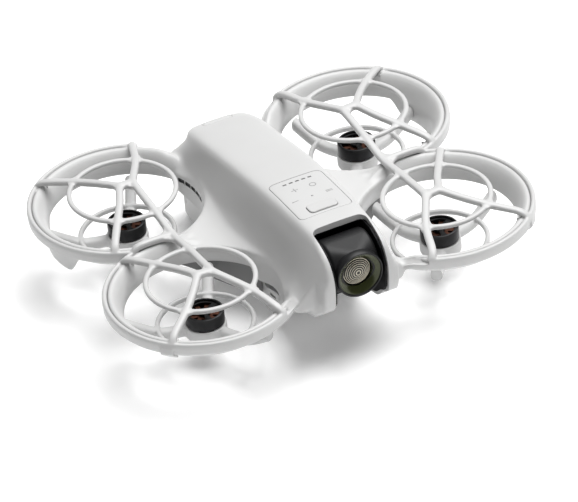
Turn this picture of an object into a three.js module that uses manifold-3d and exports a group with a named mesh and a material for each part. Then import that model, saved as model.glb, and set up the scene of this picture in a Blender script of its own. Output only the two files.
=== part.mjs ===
// A palm-size camera drone with four guarded propeller ducts round a long, smooth fuselage.
// Millimetres, +Z up, the nose towards -Y, the belly resting on Z = 0, the left side at +X.
import * as THREE from "three";
import { mergeVertices } from "three/addons/utils/BufferGeometryUtils.js";
import Module from "manifold-3d";

const wasm = await Module();
wasm.setup();

// Whole craft
const craftLength = 130; // over the guards; the ducts, and with them the width, follow from it
const craftHeight = 48.5;
const ductInset = 17.85; // from the craft's middle to the nearest point of each throat
const motorPlane = 20.2; // height of the four motor tops
const seatGap = 0.3; // between pieces that touch on the real craft
const overrun = 3; // how far a cut runs past what it cuts
const farReach = 90; // past the whole craft, for blocks that halve a piece
const weld = 0.0001; // points closer than this are one
const degree = Math.PI / 180;
const fineSteps = 28; // sides of a large round piece, a middling one and a small one
const roundSteps = 20;
const smallSteps = 10;

// Guard: two domed frames of rods, each over a front and a rear duct
const guardShare = 0.2596154; // outer edge of the rim wire, as a share of the craft's length
const guardRadius = guardShare * craftLength;
const wireRadius = 0.8;
const wireHeight = 8.7; // the heights of guard and duct are above the motor tops
const innerRingShare = 0.548148;
const innerRingRadius = innerRingShare * guardRadius;
const innerRingHeight = 12.4;
const innerRingWidth = 1.7;
const innerRingDepth = 1.6;
const crownHeight = 14.7;
const crownPadRadius = 3.4;
const crownPadDepth = 1.8;
const spokeWidth = 1.8;
const spokeDepth = 2.5;
const spineOffset = 4.2; // the spine runs this far inboard of the duct centres
const spineHeight = 10.7; // halfway between the ducts
const crossBarWidth = 2.4;
const crossBarBend = 0.8; // share of its length over which the cross bar runs level
const clipWidth = 4.5;
const clipThickness = 1;
const clipAngle = 136;
const spokeEndHeight = 10; // a spoke comes down onto the top of the rim wire
const spokeKneeHeight = 10.95; // and clears the duct's lip at its knee
const spokeKneeShare = 0.874074;
const spokeKneeRadius = spokeKneeShare * guardRadius;
const rimStartAngle = 55; // the wire starts at the inboard end corner
const rimEndAngle = 250; // and ends where the front and rear wires meet
const innerSpokeAngle = 48;
const outerSpokeAngle = 133;
const middleSpokeAngle = 240;
const rimStep = 15;

// Ducts
const throatShare = 0.797037;
const throatRadius = throatShare * guardRadius;
const lipMargin = 0.15; // from the lip's outer edge to that of the wire above it
const lipRadius = guardRadius - lipMargin;
const lipHeight = 9.4;
const ductWall = 0.8; // thickness at the lower edge
const ductFoot = 0.9; // height of the lower edge
const skirtDrop = 5.6; // the skirt on the outer side of each rear duct reaches this far below the motor top
const skirtAngle = 177;
const skirtSpread = 34;
const skirtBlend = 12;
const ductSteps = 36;
const rootHalf = 20; // the ducts join the fuselage on this plane each side
const webHeight = 6.6;
const webDepth = 5;

// Motor mounts: a cup, a ring and three struts
const cupRadius = 7.2;
const cupWall = 1;
const cupTop = 5; // depths below the motor top
const cupBottom = 10;
const cupFloor = 1.5;
const lowerRingShare = 0.511111;
const lowerRingRadius = lowerRingShare * guardRadius;
const lowerRingWidth = 1.7;
const lowerRingTop = 4.5;
const lowerRingDepth = 2.1;
const strutWidth = 3;
const strutDepth = 4;
const strutRootDrop = 7.3;
const strutTipDrop = 0.3;
const strutAngles = [62, 162, 300]; // seen from above on the right side, mirrored on the left

// Motors
const bellRadius = 6.72;
const bellWall = 0.65;
const bellRim = 0.85;
const bellHeight = 4.7;
const bellPlateDrop = 0.7;
const bellPlateDepth = 0.7;
const bellHubRadius = 2;
const bellSpokeWidth = 1.3;
const bellSpokes = 3;
const shaftRadius = 0.75;
const shaftTipDrop = 0.1;
const statorTeeth = 9;
const statorAirGap = 0.4;
const statorStack = 2.4;
const statorTopDrop = 1.9;
const statorBaseRadius = 3;
const toothRootShare = 0.52;

// Fuselage
const noseReach = 63.1;
const noseSpan = 63.1; // length of nose that the shares of the cheeks' outline run over
const tailOverhang = 12.44; // behind the rear ends of the vents
const roofHalf = 12;
const roofEdge = 5; // how far the rounded edge of the roof reaches down
const sideHalf = 16.5;
const shoulderDepth = 7.5;
const keelRound = 3;
const roofSkin = 2.2;
const ledgeShare = 0.529897; // ceiling of the lower bay, which the main board hangs under
const ledgeHeight = ledgeShare * craftHeight;
const upperBayHalf = 10.2;
const lowerBayHalf = 14.6;
const floorHeight = 1.8;
const bellyHalf = 12.6;
const bellyRearSetback = 4.6; // from the tail, as the rear edges of boards and buttons are
const lowerBayStep = 8.4; // height of the bay's floor at its front, over the chin
const lowerBaySetback = 9.5; // from the camera bay's back wall
const lowerBayRamp = 10; // length over which the floor rises
const bellySetback = 11; // from the lower bay's front to the cover's
const bayWall = 1.7;

// Camera bay and cheeks
const bayHalf = 10;
const bayLength = 22.6;
const bayBack = noseReach - bayLength; // the inside of the nose is set out from this wall
const ceilingDrop = 2.4;
const bayCeiling = craftHeight - ceilingDrop;
const roofSetback = 16.3; // from the nose to the roof's front edge, over the camera
const roofFront = noseReach - roofSetback;
const openingRound = 2.6;
const linerWall = 0.7;
const linerInset = 0.7;
const linerNoseLow = 25.2; // lower edge of the lining at the nose and at the back wall
const linerBackLow = 14.8;

// Camera head
const hingeSetback = 11.8;
const hingeReach = noseReach - hingeSetback;
const hingeDrop = 13.1;
const hingeHeight = craftHeight - hingeDrop;
const drumRadius = 9.2;
const drumHalf = 8.6;
const drumEdge = 1.3;
const snoutRadius = 8.2;
const snoutReach = 8; // from the hinge to the snout's front face
const lensReach = 10.9; // from the hinge to the front of the lens ring
const lensRingRadius = 8.5;
const lensRingWall = 0.75;
const bezelInner = 5.5;
const bezelDepth = 2;
const bezelEdge = 0.5;
const lensBore = 5.6;
const glassCrown = 1.5;
const glassRim = 1.3;
const cellLength = 7.2;
const sensorHalf = 3.6;
const sensorDepth = 1;
const hubRadius = 1.7;
const hubSocket = 1;
const tiltMotorRadius = 4.7;
const tiltMotorDepth = 2.3;
const tiltBearingRadius = 3;
const tiltBearingDepth = 1.4;

// Control panel and buttons on the roof
const panelHalf = 9.8;
const panelSetback = 0.8; // from the bay's back wall
const panelLength = 25.9;
const panelFront = bayBack - panelSetback;
const panelRear = panelFront - panelLength;
const panelThickness = 0.9;
const panelRound = 2;
const modeHalf = 5.2;
const modeSetback = 1.4; // from the panel's front edge
const modeLength = 5.1;
const modeFront = panelFront - modeSetback;
const modeRear = modeFront - modeLength;
const modeRaise = 0.38;
const modeRound = 1.5;
const buttonTravel = 0.5;
const stemRadius = 1.2;
const powerHalf = 5.5;
const powerLength = 3.8;
const powerRearSetback = 4.9;
const powerThickness = 1;
const powerRound = 1.7;
const lightCount = 5;
const lightPitch = 2.35;
const lightLength = 1.3;
const lightWidth = 0.7;
const lightInset = 2.8; // from the panel's rear edge
const lightRow = panelRear + lightInset;

// Vents
const ventStartAngle = -15;
const ventEndAngle = 22.5;
const ventSegments = 5;
const ventHeight = 1.7;
const ventRise = 1.9; // centre of the slot above the rear motor top
const ventDepth = 1.6;
const louverSetback = 4.5;
const louverLength = 11.5;
const louverFront = bayBack - louverSetback;
const louverRear = louverFront - louverLength;
const louverLow = 14.7;
const louverHigh = 21.6;
const louverSlats = 3;
const louverFrame = 0.8;
const louverSlatDepth = 0.8;

// Electronics
const boardThickness = 1.1;
const mainBoardHalf = 13.5;
const mainBoardSetback = 1.5;
const mainBoardRearSetback = 5.6;
const flightBoardHeight = 9;
const flightBoardTail = 3.5; // from its rear edge to the battery
const controlBoardDrop = 6;
const controlBoardHeight = craftHeight - controlBoardDrop;
const controlBoardLength = 25.5; // from the bay's back wall
const controlBoardRear = bayBack - controlBoardLength;
const switchHalf = 2;
const modeSwitchHeight = 1.8;
const sinkFins = 7;
const sinkSetback = 12.5;
const sinkLength = 22;
const sinkFront = bayBack - sinkSetback;
const sinkRear = sinkFront - sinkLength;
const sinkBase = 1.2;
const sinkHeight = 8;
const sinkHalf = 9.3;
const sinkFinThickness = 0.9;
const antennaHalf = 7;
const antennaHeight = 4;
const antennaStart = 10;
const downLensRadius = 3;
const downLensSetback = 16.2; // from the lower bay's front, as the next rows are
const rangeHalfWidth = 4;
const rangeHalfLength = 2;
const rangeSetback = 22.6;
const bellyRecess = 0.4; // how far the belly sensors stay above the cover's underside
const portWidth = 8.9;
const portHeight = 3.2;
const portRound = 1.3;
const portDepth = 6.5;
const portSetback = 17; // from the lower bay's front
const portWall = 0.4;
const connectorHalf = 6;
const connectorDepth = 2.8;
const connectorHeight = 7;

// Bottom cover and its screws
const coverThickness = 1.5;
const bossRadius = 2.3;
const screwSetback = 18.8;
const screwSpan = 9.4;
const screwHalf = 9.5;
const screwRadius = 0.8;
const screwHead = 1.6;
const screwHeadDepth = 0.8;

// Battery
const batterySetback = 29; // from the lower bay's front
const batteryHeadroom = 1.9; // below the ceiling of the lower bay
const batteryWall = 1;
const ventMargin = 1.34; // from the rear end of the vents to the tail cap, which closes the fuselage
const batteryRiseGap = 0.6; // behind the main board the cap stands up to the upper shell
const cellCount = 2;
const latchSetback = 1.3; // from the front of the cap
const latchLength = 4.2;
const latchLow = 9;
const latchHigh = 15;
const latchTravel = 0.8;

// Sizes that follow from those above
const ductX = ductInset + throatRadius;
const ductY = craftLength / 2 - guardRadius;
const ventRear = ductY + (throatRadius + ventDepth) * Math.sin(ventEndAngle * degree);
const tailReach = ventRear + tailOverhang;
const bellyRear = tailReach - bellyRearSetback;
const mainBoardRear = tailReach - mainBoardRearSetback;
const powerRear = tailReach - powerRearSetback;
const powerFront = powerRear - powerLength;
const batteryEnd = ventRear + ventMargin;
const batteryRise = mainBoardRear + batteryRiseGap;
const latchFront = batteryEnd + latchSetback;
const latchRear = latchFront + latchLength;
const wireLine = guardRadius - wireRadius;
const bellInner = bellRadius - bellWall;
const shaftBore = shaftRadius + seatGap;
const cupFloorDrop = cupBottom - cupFloor;
const lowerBayFront = bayBack - lowerBaySetback;
const lowerBayToe = lowerBayFront - lowerBayRamp;
const bellyFront = lowerBayFront - bellySetback;
const mainBoardFront = lowerBayFront - mainBoardSetback;
const downLensRow = lowerBayFront - downLensSetback;
const rangeRow = lowerBayFront - rangeSetback;
const screwRow = lowerBayFront - screwSetback;
const batteryFront = lowerBayFront - batterySetback;
const portRow = lowerBayFront - portSetback;
const flightBoardRear = batteryFront + flightBoardTail;
const batteryHalf = lowerBayHalf - seatGap;
const batteryFloor = floorHeight;
const batteryTop = ledgeHeight - batteryHeadroom;
const mainBoardTop = ledgeHeight - seatGap;
const flightBoardTop = flightBoardHeight + boardThickness;
const controlBoardTop = controlBoardHeight + boardThickness;

// Shares around the section of a duct: out from the throat to the outer edge, and up to the crest of the lip.
const lipShares = [
  [0, 0.2],
  [0.05, 0.45],
  [0.15, 0.68],
  [0.3, 0.88],
  [0.45, 0.98],
  [0.56, 1],
  [0.66, 0.95],
  [0.735, 0.81],
  [1, 0.81],
  [1, 0.62],
  [0.85, 0.52],
  [0.26, 0.21],
];

// The lip's rise at angles round a duct: low beside the fuselage, full on the open sides.
const lipRiseShares = [
  [0, 0.34],
  [20, 0.36],
  [36, 0.7],
  [50, 1],
  [275, 1],
  [300, 0.62],
  [335, 0.36],
  [360, 0.34],
];

// Shares for each section of the fuselage, nose to tail: place along the nose or tail reach, roof height,
// roof half width, shoulder height in lip heights, shoulder half width, side half width, underside height.
const sectionShares = [
  [-1, 0.943, 0.83, 1.55, 0.7, 0.84, 0.42],
  [-0.923, 0.974, 0.86, 1.55, 0.72, 0.86, 0.4],
  [-0.886, 0.983, 0.868, 1.45, 0.74, 0.873, 0.38],
  [-0.844, 0.99, 0.876, 0.68, 1, 0.897, 0.355],
  [-0.75, 0.998, 0.884, 0.74, 1, 0.945, 0.33],
  [-0.655, 1, 0.9, 0.45, 1, 0.982, 0.293],
  [-0.559, 0.997, 0.917, 0.32, 1, 1, 0.196],
  [-0.448, 0.991, 0.934, 0.32, 1, 1, 0.087],
  [-0.32, 0.982, 0.958, 0.42, 1, 1, 0],
  [-0.193, 0.967, 0.975, 0.57, 1, 1, 0],
  [-0.074, 0.948, 0.992, 0.67, 1, 1, 0],
  [0.053, 0.926, 1, 0.67, 1, 1, 0],
  [0.2, 0.899, 1, 0.57, 1, 1, 0],
  [0.349, 0.871, 1, 0.42, 1, 1, 0],
  [0.496, 0.842, 1, 0.32, 1, 1, 0],
  [0.645, 0.812, 1, 0.32, 1, 1, 0],
  [0.774, 0.78, 0.983, 0.42, 1, 1, 0],
  [0.867, 0.747, 0.925, 0.66, 1, 0.97, 0.012],
  [0.934, 0.714, 0.8, 0.7, 0.98, 0.885, 0.04],
  [0.964, 0.688, 0.683, 0.8, 0.71, 0.788, 0.07],
  [0.988, 0.656, 0.517, 0.82, 0.58, 0.667, 0.113],
  [1, 0.62, 0.3, 0.76, 0.42, 0.485, 0.175],
];
const roofShares = [
  [0, 0],
  [0.55, 0.05],
  [0.9, 0.2],
  [1.07, 0.52],
  [1.16, 1],
];
const flankShares = [
  [0.25, 0.45],
  [0.55, 0.8],
  [1, 1],
];

// Side outline of the cheeks, as shares of the nose reach and of the craft's height.
const cheekShares = [
  [0.618, 1.106],
  [0.734, 1.029],
  [0.792, 0.981],
  [0.85, 0.958],
  [0.918, 0.918],
  [0.961, 0.871],
  [0.988, 0.804],
  [1, 0.723],
  [0.995, 0.624],
  [0.981, 0.534],
  [0.958, 0.49],
  [0.912, 0.458],
  [0.83, 0.363],
  [0.73, 0.326],
  [0.618, 0.24],
];

const corners = [
  { name: "front_right", side: -1, end: -1 },
  { name: "front_left", side: 1, end: -1 },
  { name: "rear_right", side: -1, end: 1 },
  { name: "rear_left", side: 1, end: 1 },
];
const sides = [
  { name: "right", side: -1 },
  { name: "left", side: 1 },
];

// Finishes
const finishes = {
  shellWhite: { color: 0xe9e9e7, roughness: 0.5, metalness: 0 },
  guardWhite: { color: 0xe4e4e2, roughness: 0.55, metalness: 0 },
  frameWhite: { color: 0xdededb, roughness: 0.6, metalness: 0 },
  buttonWhite: { color: 0xededeb, roughness: 0.45, metalness: 0 },
  motorBlack: { color: 0x161617, roughness: 0.4, metalness: 0.5 },
  linerBlack: { color: 0x050506, roughness: 0.15, metalness: 0 },
  cameraGrey: { color: 0x37383a, roughness: 0.45, metalness: 0.1 },
  ventBlack: { color: 0x0d0d0e, roughness: 0.7, metalness: 0 },
  bezelGreen: { color: 0x2a2f18, roughness: 0.15, metalness: 0.3 },
  lensGlass: { color: 0x8d8770, roughness: 0.03, metalness: 0 },
  copper: { color: 0xb0582f, roughness: 0.35, metalness: 0.9 },
  steel: { color: 0xb9bbbd, roughness: 0.25, metalness: 1 },
  aluminium: { color: 0x9ea2a6, roughness: 0.4, metalness: 0.9 },
  boardGreen: { color: 0x1c4a2e, roughness: 0.6, metalness: 0 },
  batteryGrey: { color: 0xd9d9d7, roughness: 0.55, metalness: 0 },
  cellSilver: { color: 0xa8acb3, roughness: 0.4, metalness: 0.6 },
  ceramic: { color: 0xcfc4a4, roughness: 0.7, metalness: 0 },
};

const craft = new THREE.Group();

// Turns a three.js geometry into a solid that can be joined and cut, with its faces pointing out.
function solidOf(geometry) {
  const plain = geometry.clone();
  plain.deleteAttribute("normal");
  plain.deleteAttribute("uv");
  const merged = mergeVertices(plain, weld);
  const points = merged.attributes.position.array;
  const faces = [];
  let volume = 0;
  const a = new THREE.Vector3();
  const b = new THREE.Vector3();
  const c = new THREE.Vector3();
  for (let i = 0; i < merged.index.count; i += 3) {
    const [p, q, r] = merged.index.array.slice(i, i + 3);
    if (p === q || q === r || r === p) continue;
    faces.push([p, q, r]);
    volume += a.fromArray(points, 3 * p).dot(b.fromArray(points, 3 * q).cross(c.fromArray(points, 3 * r)));
  }
  const triVerts = new Uint32Array(faces.flatMap(([p, q, r]) => (volume < 0 ? [p, r, q] : [p, q, r])));
  return new wasm.Manifold(new wasm.Mesh({ numProp: 3, vertProperties: points, triVerts }));
}

function geometryOf(solid) {
  const mesh = solid.getMesh();
  const geometry = new THREE.BufferGeometry();
  geometry.setAttribute("position", new THREE.BufferAttribute(mesh.vertProperties, mesh.numProp));
  geometry.setIndex(new THREE.BufferAttribute(mesh.triVerts, 1));
  geometry.computeVertexNormals();
  return geometry;
}

function addPiece(name, finish, solid) {
  const mesh = new THREE.Mesh(geometryOf(solid), new THREE.MeshStandardMaterial(finishes[finish]));
  mesh.name = name;
  craft.add(mesh);
}

function joined(solids) {
  return solids.reduce((whole, solid) => whole.add(solid));
}

// A box between two corners.
function block(x0, x1, y0, y1, z0, z1) {
  const box = new THREE.BoxGeometry(x1 - x0, y1 - y0, z1 - z0);
  return solidOf(box.translate((x0 + x1) / 2, (y0 + y1) / 2, (z0 + z1) / 2));
}

// A box that reaches equally far to both sides of the craft's middle.
function middleBlock(half, y0, y1, z0, z1) {
  return block(-half, half, y0, y1, z0, z1);
}

// A profile of [radius, height] points turned about the Z axis.
function turned(profile, segments = roundSteps) {
  const points = profile.map(([radius, height]) => new THREE.Vector2(radius, height));
  return solidOf(new THREE.LatheGeometry(points, segments).rotateX(Math.PI / 2));
}

function rod(radius, low, high, segments = roundSteps) {
  return turned([[0, low], [radius, low], [radius, high], [0, high]], segments);
}

function tube(inner, outer, low, high, segments = roundSteps) {
  return turned([[inner, low], [outer, low], [outer, high], [inner, high], [inner, low]], segments);
}

// A plan outline raised between two heights.
function raised(shape, low, high, curveSegments = 4) {
  const body = new THREE.ExtrudeGeometry(shape, { depth: high - low, bevelEnabled: false, curveSegments });
  return solidOf(body.translate(0, 0, low));
}

// An outline in the side view, [forward reach, height], carried across from one side to the other.
function across(outline, left, right) {
  const shape = new THREE.Shape(outline.map(([reach, height]) => new THREE.Vector2(-reach, height)));
  const body = new THREE.ExtrudeGeometry(shape, { depth: right - left, bevelEnabled: false });
  body.rotateX(Math.PI / 2);
  body.rotateZ(Math.PI / 2);
  return solidOf(body.translate(left, 0, 0));
}

// A rectangle in plan with round corners.
function roundedPlan(half, y0, y1, radius) {
  const shape = new THREE.Shape();
  shape.absarc(half - radius, y1 - radius, radius, 0, Math.PI / 2);
  shape.absarc(radius - half, y1 - radius, radius, Math.PI / 2, Math.PI);
  shape.absarc(radius - half, y0 + radius, radius, Math.PI, 1.5 * Math.PI);
  shape.absarc(half - radius, y0 + radius, radius, 1.5 * Math.PI, 2 * Math.PI);
  return shape;
}

// Triangles that close a ring of points lying in one plane.
function capFaces(ring, start) {
  const normal = new THREE.Vector3();
  ring.forEach((point, i) => normal.add(point.clone().cross(ring[(i + 1) % ring.length])));
  const across1 = ring[1].clone().sub(ring[0]).normalize();
  const across2 = normal.normalize().cross(across1);
  const flat = ring.map((point) => new THREE.Vector2(point.dot(across1), point.dot(across2)));
  return THREE.ShapeUtils.triangulateShape(flat, []).map((face) => face.map((i) => i + start));
}

// A skin through rings that all have the same number of points; a closed one joins its last ring to its first.
function lofted(rings, closed = false) {
  const count = rings[0].length;
  const faces = [];
  const spans = closed ? rings.length : rings.length - 1;
  for (let r = 0; r < spans; r++) {
    const here = r * count;
    const next = ((r + 1) % rings.length) * count;
    for (let i = 0; i < count; i++) {
      const j = (i + 1) % count;
      faces.push([here + i, here + j, next + j], [here + i, next + j, next + i]);
    }
  }
  if (!closed) {
    faces.push(...capFaces(rings[0], 0).map(([a, b, c]) => [a, c, b]));
    faces.push(...capFaces(rings[rings.length - 1], (rings.length - 1) * count));
  }
  const geometry = new THREE.BufferGeometry().setFromPoints(rings.flat());
  geometry.setIndex(faces.flat());
  return solidOf(geometry);
}

// Corners of a bar's section, as shares of its width and depth.
const barShares = [[0.5, 0], [0.28, 0.5], [-0.28, 0.5], [-0.5, 0], [-0.28, -0.5], [0.28, -0.5]];

// A bar along a curve through the points, six-sided and upright, with its depth at each end and in the middle.
function bar(points, width, depths, steps, closed = false) {
  const curve = new THREE.CatmullRomCurve3(points, closed);
  const up = new THREE.Vector3(0, 0, 1);
  const rings = [];
  for (let i = 0; i < (closed ? steps : steps + 1); i++) {
    const along = i / steps;
    const place = closed ? curve.getPointAt(along) : curve.getPoint(along);
    const tangent = closed ? curve.getTangentAt(along) : curve.getTangent(along);
    const sideways = tangent.clone().cross(up).normalize();
    const upright = sideways.clone().cross(tangent);
    const at = along * (depths.length - 1);
    const low = Math.min(Math.floor(at), depths.length - 2);
    const depth = THREE.MathUtils.lerp(depths[low], depths[low + 1], at - low);
    rings.push(barShares.map(([w, d]) =>
      place.clone().addScaledVector(sideways, w * width).addScaledVector(upright, d * depth)));
  }
  return lofted(rings, closed);
}

// A point near a duct. Angles start inboard and turn towards the duct's own end of the craft.
function nearDuct(corner, angle, radius, height) {
  const turn = angle * degree;
  return new THREE.Vector3(
    corner.side * (ductX - radius * Math.cos(turn)),
    corner.end * (ductY + radius * Math.sin(turn)),
    height,
  );
}

// An outline of [radius, height] points beside a duct, carried along the duct's rim by a width.
function rimSlab(corner, angle, outline, width) {
  const halfTurn = (radius) => width / 2 / radius / degree;
  return lofted([-1, 1].map((way) => outline.map(([radius, height]) =>
    nearDuct(corner, angle + way * halfTurn(outline[0][0]), radius, height))));
}

// 1 within a spread of an angle, falling to 0 over the blend.
function nearAngle(angle, centre, spread, blend) {
  const away = Math.abs(((((angle - centre) % 360) + 540) % 360) - 180);
  return THREE.MathUtils.smoothstep(spread - away, 0, blend);
}

// Reads a table of [place, value] rows at a place between two of them.
function readTable(rows, place) {
  const next = Math.max(1, rows.findIndex(([at]) => at >= place));
  const [at0, value0] = rows[next - 1];
  const [at1, value1] = rows[next];
  return THREE.MathUtils.mapLinear(place, at0, at1, value0, value1);
}

// Fuselage

function sectionReach(share) {
  return share * (share < 0 ? noseReach : tailReach);
}

function fuselageSection([along, roof, roofShare, shoulderLift, shoulderShare, sideShare, under]) {
  const reach = sectionReach(along);
  const top = roof * craftHeight;
  const edge = roofEdge * roofShare;
  const half = roofHalf * roofShare;
  const side = sideHalf * sideShare;
  const bottom = under * craftHeight;
  const shoulder = rootHalf * shoulderShare;
  const shoulderTop = motorPlane + shoulderLift * lipHeight;
  const outline = roofShares.map(([x, z]) => [x * half, top - z * edge]);
  const [edgeHalf, edgeHeight] = outline[outline.length - 1];
  flankShares.forEach(([x, z]) => outline.push([
    THREE.MathUtils.lerp(edgeHalf, shoulder, x),
    THREE.MathUtils.lerp(edgeHeight, shoulderTop, z),
  ]));
  outline.push([shoulder, shoulderTop - shoulderDepth]);
  outline.push([side, shoulderTop - 1.3 * shoulderDepth]);
  outline.push([side, bottom + keelRound]);
  outline.push([side - 0.3 * keelRound, bottom + 0.3 * keelRound]);
  outline.push([side - keelRound, bottom]);
  outline.push([0, bottom]);
  const mirrored = outline.slice(1, -1).reverse().map(([x, z]) => [-x, z]);
  return [...outline, ...mirrored].map(([x, z]) => new THREE.Vector3(x, reach, z));
}

const fuselageForm = lofted(sectionShares.map(fuselageSection));

function roofAt(reach) {
  return readTable(sectionShares.map(([along, roof]) => [sectionReach(along), roof * craftHeight]), reach);
}

// The layer of the fuselage between two depths under its surface, within a plan outline.
function roofLayer(shape, raise, sink) {
  const column = raised(shape, ledgeHeight, craftHeight + overrun);
  return fuselageForm.translate([0, 0, raise]).intersect(column).subtract(fuselageForm.translate([0, 0, -sink]));
}

function cheekReach(share) {
  return noseReach - (1 - share) * noseSpan;
}

function cheekOutline(inset = 0) {
  const outline = cheekShares.map(([reach, height]) => [cheekReach(reach), height * craftHeight]);
  return outline.map(([reach, height]) => [
    reach - inset,
    height + (height > hingeHeight ? -inset : inset),
  ]);
}

function throatCut(corner) {
  const cut = rod(throatRadius, -overrun, craftHeight + overrun, ductSteps);
  return cut.translate([corner.side * ductX, corner.end * ductY, 0]);
}

function ventBand(corner, grow) {
  const inner = throatRadius + (grow > 0 ? -overrun : seatGap);
  const outer = throatRadius + ventDepth + grow;
  const outline = [[inner, -1], [outer, -1], [outer, 1], [inner, 1]];
  const centre = motorPlane + ventRise;
  const half = ventHeight / 2 + grow;
  const turnGrow = grow / throatRadius / degree;
  const start = ventStartAngle - turnGrow;
  const end = ventEndAngle + turnGrow;
  const steps = 2 * ventSegments;
  const rings = [];
  for (let i = 0; i <= steps; i++) {
    const angle = THREE.MathUtils.lerp(start, end, i / steps);
    rings.push(outline.map(([radius, way]) => nearDuct(corner, angle, radius, centre + way * half)));
  }
  return lofted(rings);
}

function louverWindow(corner, grow) {
  const inner = lowerBayHalf - overrun;
  const outer = sideHalf + overrun;
  const window = block(inner, outer, -louverFront - grow, -louverRear + grow, louverLow - grow, louverHigh + grow);
  return corner.side < 0 ? window.mirror([1, 0, 0]) : window;
}

function upperBay() {
  const front = -bayBack + bayWall;
  const rear = tailReach - 2 * roofSkin;
  const reaches = sectionShares.map(([along]) => sectionReach(along)).filter((y) => y > front && y < rear);
  const roofLine = [front, ...reaches, rear].map((y) => [-y, roofAt(y) - roofSkin]);
  const low = ledgeHeight - seatGap;
  return across([[-front, low], ...roofLine, [-rear, low]], -upperBayHalf, upperBayHalf);
}

// The connector's outline, pushed out through the left side wall.
function portRun(grow, inner, outer) {
  const half = portHeight / 2 + grow;
  const body = raised(roundedPlan(portWidth / 2 + grow, -half, half, portRound + grow), inner, outer);
  const height = flightBoardTop + portHeight / 2 + seatGap;
  return body.rotate([90, 0, 90]).translate([0, -portRow, height]);
}

// Start and end across the roof of each status light, and of the strip behind them all.
function lightSpans() {
  const spans = [];
  for (let i = 0; i < lightCount; i++) {
    const start = (i - (lightCount - 1) / 2) * lightPitch - lightLength / 2;
    spans.push([start, start + lightLength]);
  }
  return spans;
}

function lightBlock([start, end], grow, low, high) {
  const half = lightWidth / 2 + grow;
  return block(start - grow, end + grow, -lightRow - half, -lightRow + half, low, high);
}

function lightStrip() {
  const spans = lightSpans();
  return [spans[0][0], spans[spans.length - 1][1]];
}

// The upper shell stands on the lower one, which is open below for the cover and behind for the battery.
function makeShells() {
  let shell = fuselageForm;
  const noseBlock = across(cheekOutline(), -farReach, farReach);
  const rest = middleBlock(farReach, -cheekReach(cheekShares[0][0]) - seatGap, farReach, -overrun, farReach);
  shell = shell.intersect(noseBlock.add(rest));
  corners.forEach((corner) => {
    shell = shell.subtract(throatCut(corner));
  });
  const keep = rootHalf - seatGap / 2;
  shell = shell.intersect(middleBlock(keep, -farReach, farReach, -overrun, farReach));
  shell = shell.subtract(upperBay());
  shell = shell.subtract(across([[-farReach, floorHeight], [lowerBayToe, floorHeight], [lowerBayFront, lowerBayStep],
    [lowerBayFront, ledgeHeight], [-farReach, ledgeHeight]], -lowerBayHalf, lowerBayHalf));
  shell = shell.subtract(middleBlock(bellyHalf, -bellyFront, tailReach, -overrun, floorHeight + seatGap));
  shell = shell.subtract(middleBlock(bayHalf, -farReach, -bayBack, -overrun, bayCeiling));
  shell = shell.subtract(raised(roundedPlan(bayHalf, -farReach, -roofFront, openingRound), -overrun, farReach));
  const grownPanel = roundedPlan(panelHalf + seatGap, -panelFront - seatGap, -panelRear + seatGap, panelRound);
  shell = shell.subtract(roofLayer(grownPanel, overrun, panelThickness + seatGap));
  const grownPower = roundedPlan(powerHalf + seatGap, powerFront - seatGap, powerRear + seatGap, powerRound);
  shell = shell.subtract(roofLayer(grownPower, overrun, powerThickness + buttonTravel + seatGap));
  const powerRow = (powerFront + powerRear) / 2;
  shell = shell.subtract(rod(stemRadius + seatGap, ledgeHeight, craftHeight, smallSteps).translate([0, powerRow, 0]));
  const modeRow = -(modeFront + modeRear) / 2;
  shell = shell.subtract(rod(stemRadius + seatGap, ledgeHeight, farReach, smallSteps).translate([0, modeRow, 0]));
  shell = shell.subtract(lightBlock(lightStrip(), seatGap, ledgeHeight, farReach));
  corners.filter((corner) => corner.end > 0).forEach((corner) => {
    shell = shell.subtract(ventBand(corner, seatGap));
  });
  corners.filter((corner) => corner.end < 0).forEach((corner) => {
    shell = shell.subtract(louverWindow(corner, seatGap));
  });
  shell = shell.subtract(tiltPocket(tiltMotorRadius, tiltMotorDepth, -1));
  shell = shell.subtract(tiltPocket(tiltBearingRadius, tiltBearingDepth, 1));
  shell = shell.subtract(portRun(seatGap, lowerBayHalf - overrun, farReach));
  const lowerRoom = middleBlock(farReach, -farReach, batteryEnd - seatGap, -overrun, ledgeHeight - seatGap);
  const upperRoom = middleBlock(farReach, -farReach, farReach, ledgeHeight, farReach);
  return { upper: shell.intersect(upperRoom), lower: shell.intersect(lowerRoom) };
}

// A round pocket in a cheek, on the camera's tilt axis.
function tiltPocket(radius, depth, side) {
  const pocket = rod(radius + seatGap, bayHalf - overrun, bayHalf + depth + seatGap);
  return onTiltAxis(pocket, side);
}

// Lays a solid made about Z onto the camera's tilt axis, pointing out to one side.
function onTiltAxis(solid, side) {
  return solid.rotate([0, side * 90, 0]).translate([0, -hingeReach, hingeHeight]);
}

// Ducts

function ductProfile(foot, rise) {
  const lip = lipShares.map(([out, up]) => [
    THREE.MathUtils.lerp(throatRadius, lipRadius, out),
    THREE.MathUtils.lerp(ductFoot, up * lipHeight, rise),
  ]);
  return [[throatRadius, foot], ...lip, [throatRadius + ductWall, foot]];
}

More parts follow.
